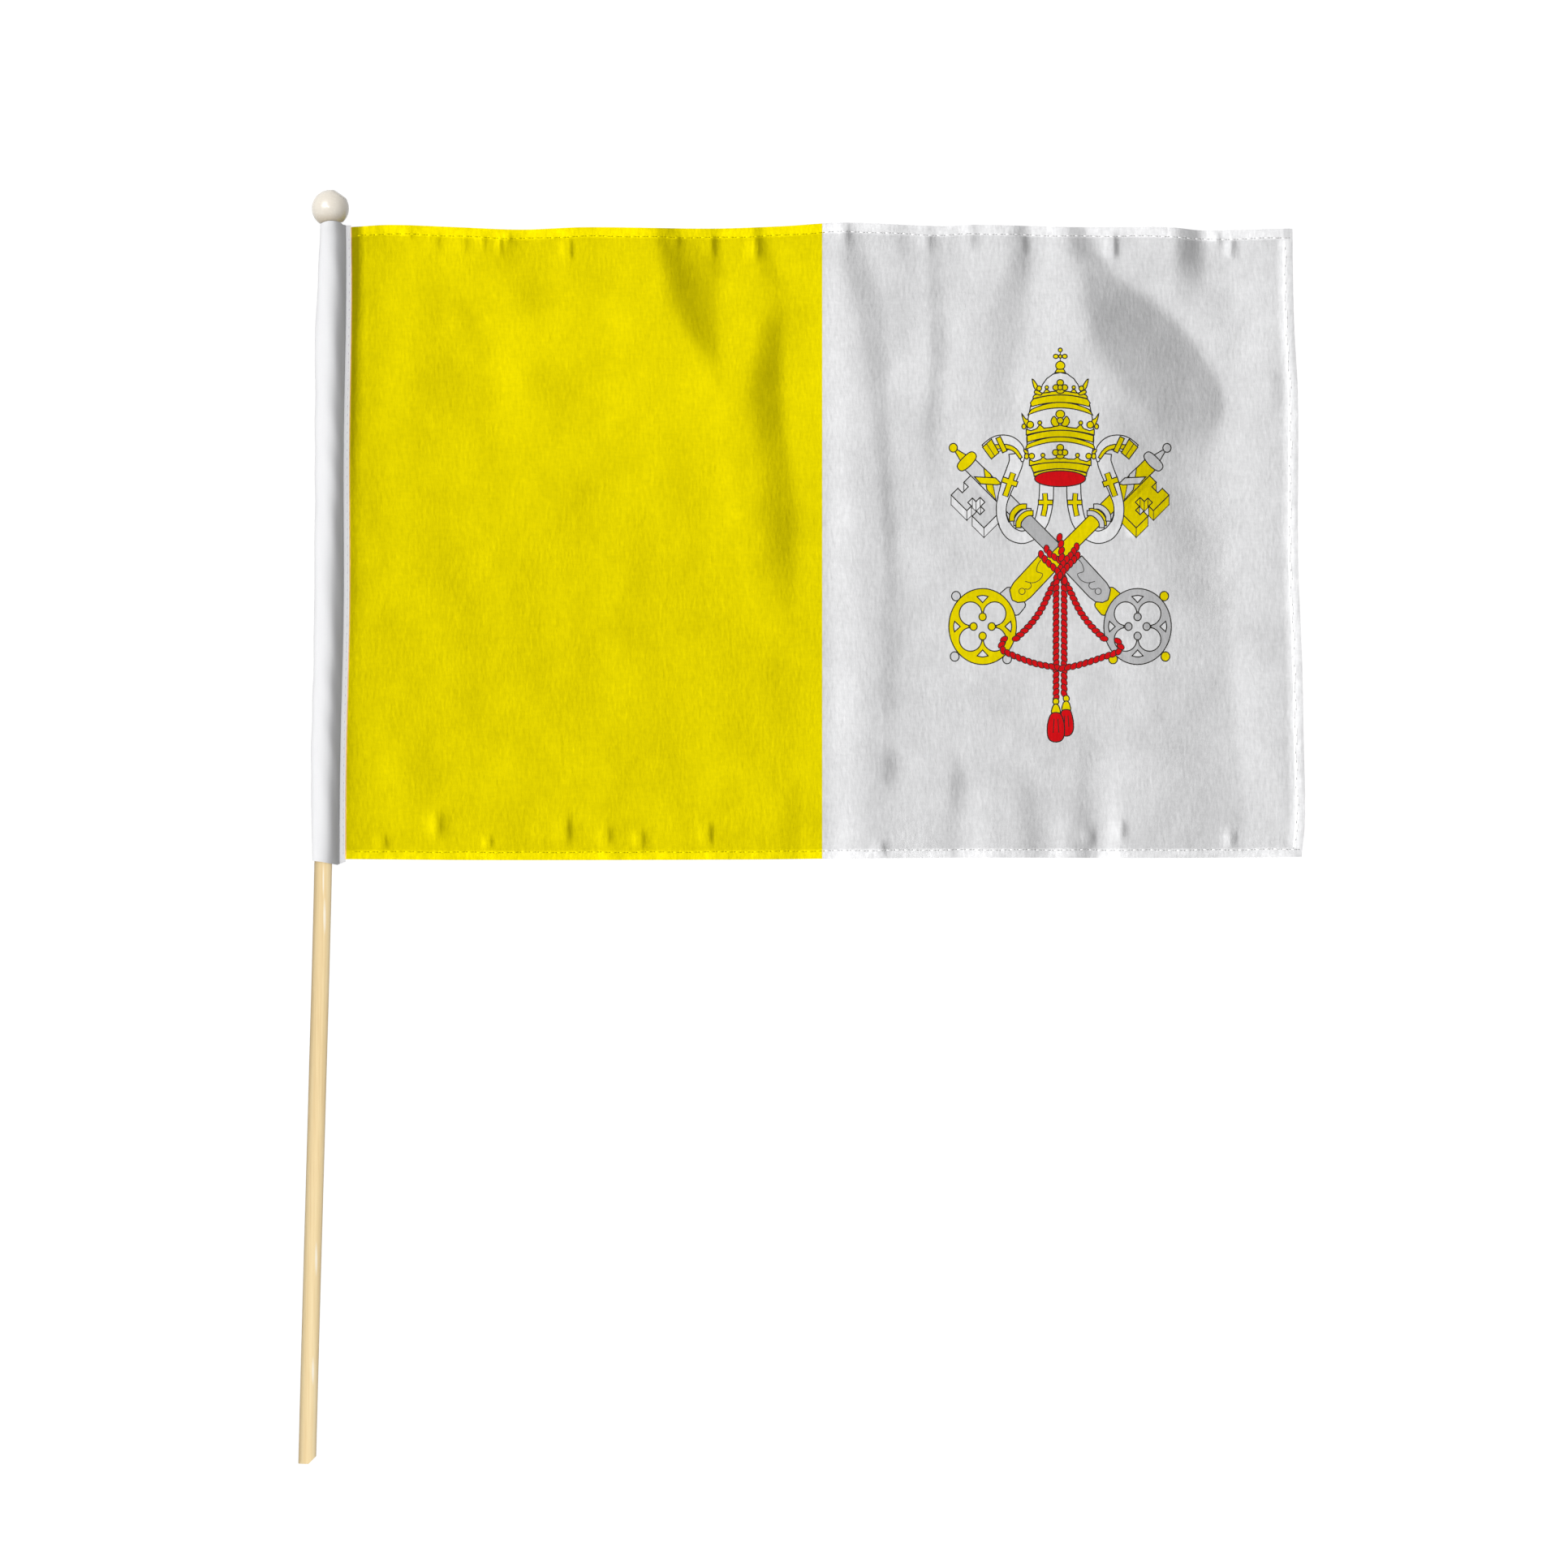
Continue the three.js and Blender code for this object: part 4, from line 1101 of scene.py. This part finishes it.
down_share = np.repeat(row_lines[:, None], YELLOW_COLUMNS + WHITE_COLUMNS + 1, 1)
level = HEAD + (FOOT - HEAD) * down_share
yellow_x = hoist_x(level) + (COLOUR_LINE - hoist_x(level)) * np.concatenate(
    [yellow_lines, np.zeros(WHITE_COLUMNS)])[None]
white_x = COLOUR_LINE + (fly_x(level) - COLOUR_LINE) * np.concatenate(
    [np.zeros(YELLOW_COLUMNS), white_lines])[None]
grid_x = np.where(np.arange(YELLOW_COLUMNS + WHITE_COLUMNS + 1)[None] <= YELLOW_COLUMNS, yellow_x, white_x)
grid_down = head_down(grid_x) + (foot_down(grid_x) - head_down(grid_x)) * down_share


def flat_place(x, down):
    """Where a place on the lying flag is on the cut cloth, from its head hoist corner."""
    share = (down - head_down(x)) / (foot_down(x) - head_down(x))
    here = HEAD + (FOOT - HEAD) * share
    yellow = (x - hoist_x(here)) * yellow_width / (COLOUR_LINE - hoist_x(here))
    white = FLAT_WIDTH - (fly_x(here) - x) * white_width / (fly_x(here) - COLOUR_LINE)
    return np.where(x <= COLOUR_LINE, yellow, white), share * FLAT_HEIGHT


# The window of the grid that takes the emblem's own edges.
WINDOW = {"left": 289.0, "right": 401.0, "top": 61.0, "bottom": 258.0}
middle_row = grid_x[ROWS // 2]
first_column = int(np.searchsorted(middle_row, WINDOW["left"]))
last_column = int(np.searchsorted(middle_row, WINDOW["right"]))
first_row = int(np.searchsorted(grid_down[:, first_column], WINDOW["top"]))
last_row = int(np.searchsorted(grid_down[:, first_column], WINDOW["bottom"]))
columns = YELLOW_COLUMNS + WHITE_COLUMNS + 1


def index(row, column):
    return row * columns + column


def within(places, corners):
    """Which of the places lie inside an outline."""
    x, down = places.T
    inside = np.zeros(len(places), bool)
    for (x0, d0), (x1, d1) in zip(corners, np.roll(corners, -1, 0)):
        if d0 != d1:
            inside ^= ((d0 > down) != (d1 > down)) & (x < (x1 - x0) * (down - d0) / (d1 - d0) + x0)
    return inside


rim_loop = ([index(first_row, c) for c in range(first_column, last_column)]
            + [index(r, last_column) for r in range(first_row, last_row)]
            + [index(last_row, c) for c in range(last_column, first_column, -1)]
            + [index(r, first_column) for r in range(last_row, first_row, -1)])
grid = np.stack([grid_x.ravel(), grid_down.ravel()], 1)
points = [Vector(p) for p in grid[rim_loop]]
edges = [(i, (i + 1) % len(rim_loop)) for i in range(len(rim_loop))]
for r in range(first_row + 1, last_row):
    for c in range(first_column + 1, last_column):
        if (r + c) % 2 == 0:
            points.append(Vector(grid[index(r, c)]))
for corners, ink in printed:
    start = len(points)
    points += [Vector((EMBLEM_X + u, EMBLEM_DOWN + v)) for u, v in corners]
    edges += [(start + i, start + (i + 1) % len(corners)) for i in range(len(corners))]
new_points, _, new_faces, origins, _, _ = delaunay_2d_cdt(points, edges, [], 1, 1e-4, True)

# Grid corners that the window's rim keeps, then the window's own.
number, flat_points = {}, [tuple(p) for p in grid]
for i, (point, origin) in enumerate(zip(new_points, origins)):
    on_rim = [o for o in origin if o < len(rim_loop)]
    if on_rim:
        number[i] = rim_loop[on_rim[0]]
    else:
        number[i] = len(flat_points)
        flat_points.append((point.x, point.y))
faces, inks = [], []
for r in range(ROWS):
    for c in range(columns - 1):
        if first_row <= r < last_row and first_column <= c < last_column:
            continue
        faces.append((index(r, c), index(r + 1, c), index(r + 1, c + 1), index(r, c + 1)))
        seam_edge = yellow_lines[min(c, YELLOW_COLUMNS)] * yellow_width
        bleached = TUCKED - 0.01 < seam_edge < TUCKED + 0.3
        inks.append(WHITE if c >= YELLOW_COLUMNS else ORANGE if bleached else YELLOW)
window_faces = np.array([[number[i] for i in face] for face in new_faces])
centres = np.array(flat_points)[window_faces].mean(1)
held = within(centres, grid[rim_loop])
window_faces, centres = window_faces[held], centres[held]
window_inks = np.full(len(window_faces), WHITE)
for corners, ink in printed:
    p = corners + (EMBLEM_X, EMBLEM_DOWN)
    near = np.flatnonzero(np.all((centres > p.min(0)) & (centres < p.max(0)), 1))
    window_inks[near[within(centres[near], p)]] = ink
for face, ink in zip(window_faces, window_inks):
    a, b, c = (np.array(flat_points[i]) for i in face[:3])
    turn = (b[0] - a[0]) * (c[1] - a[1]) - (b[1] - a[1]) * (c[0] - a[0])
    faces.append(tuple(int(i) for i in (face if turn < 0 else face[::-1])))
    inks.append(int(ink))

# Corners that no face uses go, and both sides of the sheet are raised to their heights.
used = sorted({i for face in faces for i in face})
renumber = {old: new for new, old in enumerate(used)}
faces = [tuple(renumber[i] for i in face) for face in faces]
flat = np.array(flat_points)[used]
flat_a, flat_b = flat_place(flat[:, 0], flat[:, 1])


def hem_share(a, b):
    """1 inside a turned hem, 0 on the single cloth."""
    return np.maximum.reduce([1 - soft_step(b - (HEMS["head"] - 0.5), 1.0),
                              1 - soft_step(FLAT_HEIGHT - b - (HEMS["foot"] - 0.5), 1.0),
                              1 - soft_step(FLAT_WIDTH - a - (HEMS["fly"] - 0.5), 1.0)])


inside_hem = hem_share(flat_a, flat_b)
underside = cloth_height(flat[:, 0], flat[:, 1])
upperside = underside + SHEET + HEM_RISE * inside_hem
count = len(flat)
corners_at = [place(x, d, z) for (x, d), z in zip(flat, upperside)]
corners_at += [place(x, d, z) for (x, d), z in zip(flat, underside)]
outline = ([index(0, c) for c in range(columns)] + [index(r, columns - 1) for r in range(1, ROWS + 1)]
           + [index(ROWS, c) for c in range(columns - 2, -1, -1)]
           + [index(r, 0) for r in range(ROWS - 1, 0, -1)])
outline = [renumber[i] for i in outline]
rim = [(a, b, b + count, a + count) for a, b in zip(outline, outline[1:] + outline[:1])]
backs = [tuple(i + count for i in reversed(face)) for face in faces]
rim_inks = [WHITE if flat[a, 0] > COLOUR_LINE - 0.01 and flat[b, 0] > COLOUR_LINE - 0.01 else YELLOW
            for a, b, _, _ in rim]

cloth_mesh = bpy.data.meshes.new("cloth")
cloth_mesh.from_pydata(corners_at, [], faces + backs + rim)
cloth_mesh.validate()
cloth = bpy.data.objects.new("cloth", cloth_mesh)
bpy.context.scene.collection.objects.link(cloth)

# Ink and hem go on the corners, and the flat coordinates of both sides lie apart in one map.
# The hem's tone holds painted shade on the fly's hem near the head.
ink_layer = cloth_mesh.color_attributes.new("ink", "FLOAT_COLOR", "CORNER")
hem_and_shade_attribute = cloth_mesh.attributes.new("hem", "FLOAT", "POINT")
fly_hem = 1 - soft_step(FLAT_WIDTH - flat_a - (HEMS["fly"] - 0.5), 1.0)
# The hems are brighter for their layers, but the fly's hem near the head keeps painted shade.
layered_hems_and_painted_shade = np.tile(inside_hem - fly_hem * (1 - read_table(*FLY_HEM_PAINTED_SHADING, flat_b)), 2)
hem_and_shade_attribute.data.foreach_set("value", layered_hems_and_painted_shade.astype(np.float32))
face_inks = np.array(inks + inks + rim_inks)
ink_colours = np.array([colour(*INKS[i]) for i in range(len(INKS))])
sides = np.zeros(len(cloth_mesh.polygons), int)
cloth_mesh.polygons.foreach_get("loop_total", sides)
corner_inks = np.repeat(face_inks, sides)
ink_layer.data.foreach_set("color", ink_colours[corner_inks].astype(np.float32).ravel())
corner_vertices = np.zeros(len(cloth_mesh.loops), int)
cloth_mesh.loops.foreach_get("vertex_index", corner_vertices)
is_back = np.repeat(np.arange(len(face_inks)) >= len(faces), sides)
on_cloth = corner_vertices % count
map_layer = cloth_mesh.uv_layers.new(name="OFBake")
MAP_SIZE, MAP_STEP = 640.0, 315.0  # millimetres across the map, and from the face to the back
MAP_LEFT, MAP_TOP = 8, 5
map_u = (flat_a[on_cloth] + MAP_LEFT) / MAP_SIZE
map_v = (flat_b[on_cloth] + MAP_TOP + MAP_STEP * is_back) / MAP_SIZE
map_layer.data.foreach_set("uv", np.stack([map_u, map_v], 1).astype(np.float32).ravel())

fabric = Finish("printed_polyester")
ink_wire = fabric.node("ShaderNodeAttribute", {"attribute_name": "ink"}, output="Color")
hem_and_shade_wire = fabric.node("ShaderNodeAttribute", {"attribute_name": "hem"}, output="Fac")
warp = fabric.noise((850, 240, 300), 2.0)
weft = fabric.noise((300, 900, 300), 2.0)
blotch = fabric.noise((75, 60, 60), 3.0)
weave = warp * 0.6 + weft * 0.4
crepe = fabric.noise((620, 280, 400), 3.0)


def grey(level):
    """A grey whose brightness is a wire's value."""
    return fabric.node("ShaderNodeCombineColor", None, {0: level, 1: level, 2: level})


inked = fabric.mix(1.0, ink_wire, grey(weave * 0.4 + blotch * 0.22 + 0.69), "MULTIPLY")
puckered = fabric.noise((260, 200, 200), 2.0) * 0.5 + 1.0
# Hems lie brighter, but for the painted shade on the fly's hem near the head.
brighter_hems_and_shade = fabric.mix(hem_and_shade_wire, (1, 1, 1, 1), grey(puckered))
cloth_mesh.materials.append(fabric.surface(
    Base_Color=fabric.mix(1.0, inked, brighter_hems_and_shade, "MULTIPLY"),
    Roughness=weave * 0.2 + 0.7, Specular_IOR_Level=0.03,
    Normal=fabric.bump(weave * 0.3 + crepe * 0.7, 0.0001)))
smooth(cloth, 50)
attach(cloth, "root")
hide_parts("flag_cloth")
room_lights["cloth"].objects.link(cloth)


# Stitches
# A running lockstitch of thick polyester thread, 4.15 mm a stitch, along the inner side of every
# hem and down the sleeve's margin. Between two stitches lies a dark mark, painted shade at the hole.

STITCH_PITCH, STITCH_LENGTH, THREAD_RADIUS = 4.15, 2.9, 0.2
# The dark marks at the needle holes are painted shade: short flat dark threads between the stitches.
NEEDLE_SHADE_LENGTH, NEEDLE_SHADE_RADIUS = 1.1, 0.2
THREAD_FLAT, NEEDLE_SHADE_FLAT = 0.9, 0.25  # how high they are for their width
IN_HEM = 0.7  # the seam's distance from the hem's inner side
MARGIN_FIRST, MARGIN_LAST, MARGIN_BACK, MARGIN_NEEDLE_SHADE = 11, 304, 0.9, 3.0
RINGS = ((0, 0.35), (0.12, 0.85), (0.5, 1.0), (0.88, 0.85), (1, 0.35))  # share of a stitch, width there


def lying_place(a, b):
    """Where a place of the cut cloth lies: x and down."""
    share = b / FLAT_HEIGHT
    here = np.array(HEAD + (FOOT - HEAD) * share)
    if a <= yellow_width:
        x = hoist_x(here) + a * (COLOUR_LINE - hoist_x(here)) / yellow_width
    else:
        x = fly_x(here) - (FLAT_WIDTH - a) * (fly_x(here) - COLOUR_LINE) / white_width
    return float(x), float(head_down(x) + (foot_down(x) - head_down(x)) * share)


def on_panel(a, b):
    x, down = lying_place(a, b)
    hem = float(hem_share(np.array(a), np.array(b)))
    return place(x, down, float(cloth_height(x, down)) + SHEET + HEM_RISE * hem)


def on_margin(down):
    x = float(seam_x(down)) - MARGIN_BACK
    return place(x, down, float(cloth_height(x, down)) + SHEET + BETWEEN_MARGINS + SHEET)


def threads(name, ends, radius, flat, finish):
    """One joined mesh of short round-ended threads, each from one place to another."""
    sides, corners, faces = 6, [], []
    for start, end in ends:
        along = (end - start).normalized()
        across = along.cross(Vector((0, 0, 1))).normalized()
        up = across.cross(along)
        first = len(corners)
        for share, size in RINGS:
            middle = start.lerp(end, share) + up * (size - 0.6) * flat * radius / 1000
            for k in range(sides):
                turn = math.tau * k / sides
                corners.append(middle + (across * math.cos(turn) + up * flat * math.sin(turn))
                               * size * radius / 1000)
        for ring in range(len(RINGS) - 1):
            for k in range(sides):
                i, j = first + ring * sides + k, first + ring * sides + (k + 1) % sides
                faces.append((i, j, j + sides, i + sides))
        faces.append(tuple(first + k for k in reversed(range(sides))))
        faces.append(tuple(first + (len(RINGS) - 1) * sides + k for k in range(sides)))
    mesh = bpy.data.meshes.new(name)
    mesh.from_pydata(corners, [], faces)
    piece = bpy.data.objects.new(name, mesh)
    bpy.context.scene.collection.objects.link(piece)
    edit = bmesh.new()
    edit.from_mesh(mesh)
    bmesh.ops.recalc_face_normals(edit, faces=edit.faces)
    edit.to_mesh(mesh)
    edit.free()
    mesh.materials.append(finish)
    smooth(piece, 60)
    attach(piece, "root")
    return piece


along_width = np.arange(TUCKED + 3, FLAT_WIDTH - 5, STITCH_PITCH)
along_fly = np.arange(6, FLAT_HEIGHT - 6, STITCH_PITCH)
seams = {"head": [(a, HEMS["head"] - IN_HEM) for a in along_width],
         "foot": [(a, FLAT_HEIGHT - HEMS["foot"] + IN_HEM) for a in along_width],
         "fly": [(FLAT_WIDTH - HEMS["fly"] + IN_HEM, b) for b in along_fly]}
thread_ends = {"yellow": [], "white": []}
needle_shade_ends = {"yellow": [], "white": []}
for name, line_places in seams.items():
    step = (0, 1) if name == "fly" else (1, 0)
    for k, (a, b) in enumerate(line_places):
        wander = 0.18 * math.sin(k * 0.9) + (0.5 * math.sin(k * 1.7) if name == "fly" else 0)
        a, b = a + step[1] * wander, b + step[0] * wander
        half = "yellow" if a < yellow_width - 2 else "white"
        ends = on_panel(a, b), on_panel(a + step[0] * STITCH_LENGTH, b + step[1] * STITCH_LENGTH)
        thread_ends[half].append(ends)
        # Between two stitches lies the painted shade of the needle hole.
        gap = STITCH_LENGTH + (STITCH_PITCH - STITCH_LENGTH - NEEDLE_SHADE_LENGTH) / 2
        needle_shade_ends[half].append([on_panel(a + step[0] * run, b + step[1] * run)
                                for run in (gap, gap + NEEDLE_SHADE_LENGTH)])
along_margin = np.arange(MARGIN_FIRST, MARGIN_LAST, STITCH_PITCH)
margin_ends = [(on_margin(down), on_margin(down + STITCH_LENGTH)) for down in along_margin]
# The margin's needle holes get a paler painted shade.
margin_holes = [(on_margin(down + MARGIN_NEEDLE_SHADE), on_margin(down + MARGIN_NEEDLE_SHADE + NEEDLE_SHADE_LENGTH))
                for down in along_margin]


def thread_finish(name, tone):
    thread = Finish(name)
    strands = thread.noise((3000, 3000, 3000), 2.0)
    return thread.surface(Base_Color=colour(*tone), Roughness=strands * 0.2 + 0.6,
                          Specular_IOR_Level=0.05, Normal=thread.bump(strands, 0.00004))


white_thread = thread_finish("white_thread", (244, 244, 244))
# The hole pieces are painted shade: dark flat threads where the needle holes lie.
for name, ends, radius, flat, finish, slot, light in (
        ("yellow_stitches", thread_ends["yellow"], THREAD_RADIUS, THREAD_FLAT,
         thread_finish("yellow_thread", (238, 224, 0)), "printed_cloth", "cloth"),
        ("white_stitches", thread_ends["white"], THREAD_RADIUS, THREAD_FLAT, white_thread,
         "printed_cloth", "cloth"),
        ("yellow_holes", needle_shade_ends["yellow"], NEEDLE_SHADE_RADIUS, NEEDLE_SHADE_FLAT,
         thread_finish("yellow_needle_shade", (188, 172, 0)), "printed_cloth", "cloth"),
        ("white_holes", needle_shade_ends["white"], NEEDLE_SHADE_RADIUS, NEEDLE_SHADE_FLAT,
         thread_finish("white_needle_shade", (184, 184, 184)), "printed_cloth", "cloth"),
        ("margin_stitches", margin_ends, THREAD_RADIUS, THREAD_FLAT, white_thread, "sleeve_cloth", "sleeve"),
        ("margin_holes", margin_holes, NEEDLE_SHADE_RADIUS, NEEDLE_SHADE_FLAT,
         thread_finish("margin_needle_shade", (214, 208, 216)), "sleeve_cloth", "sleeve")):
    piece = threads(name, ends, radius, flat, finish)
    room_lights[light].objects.link(piece)
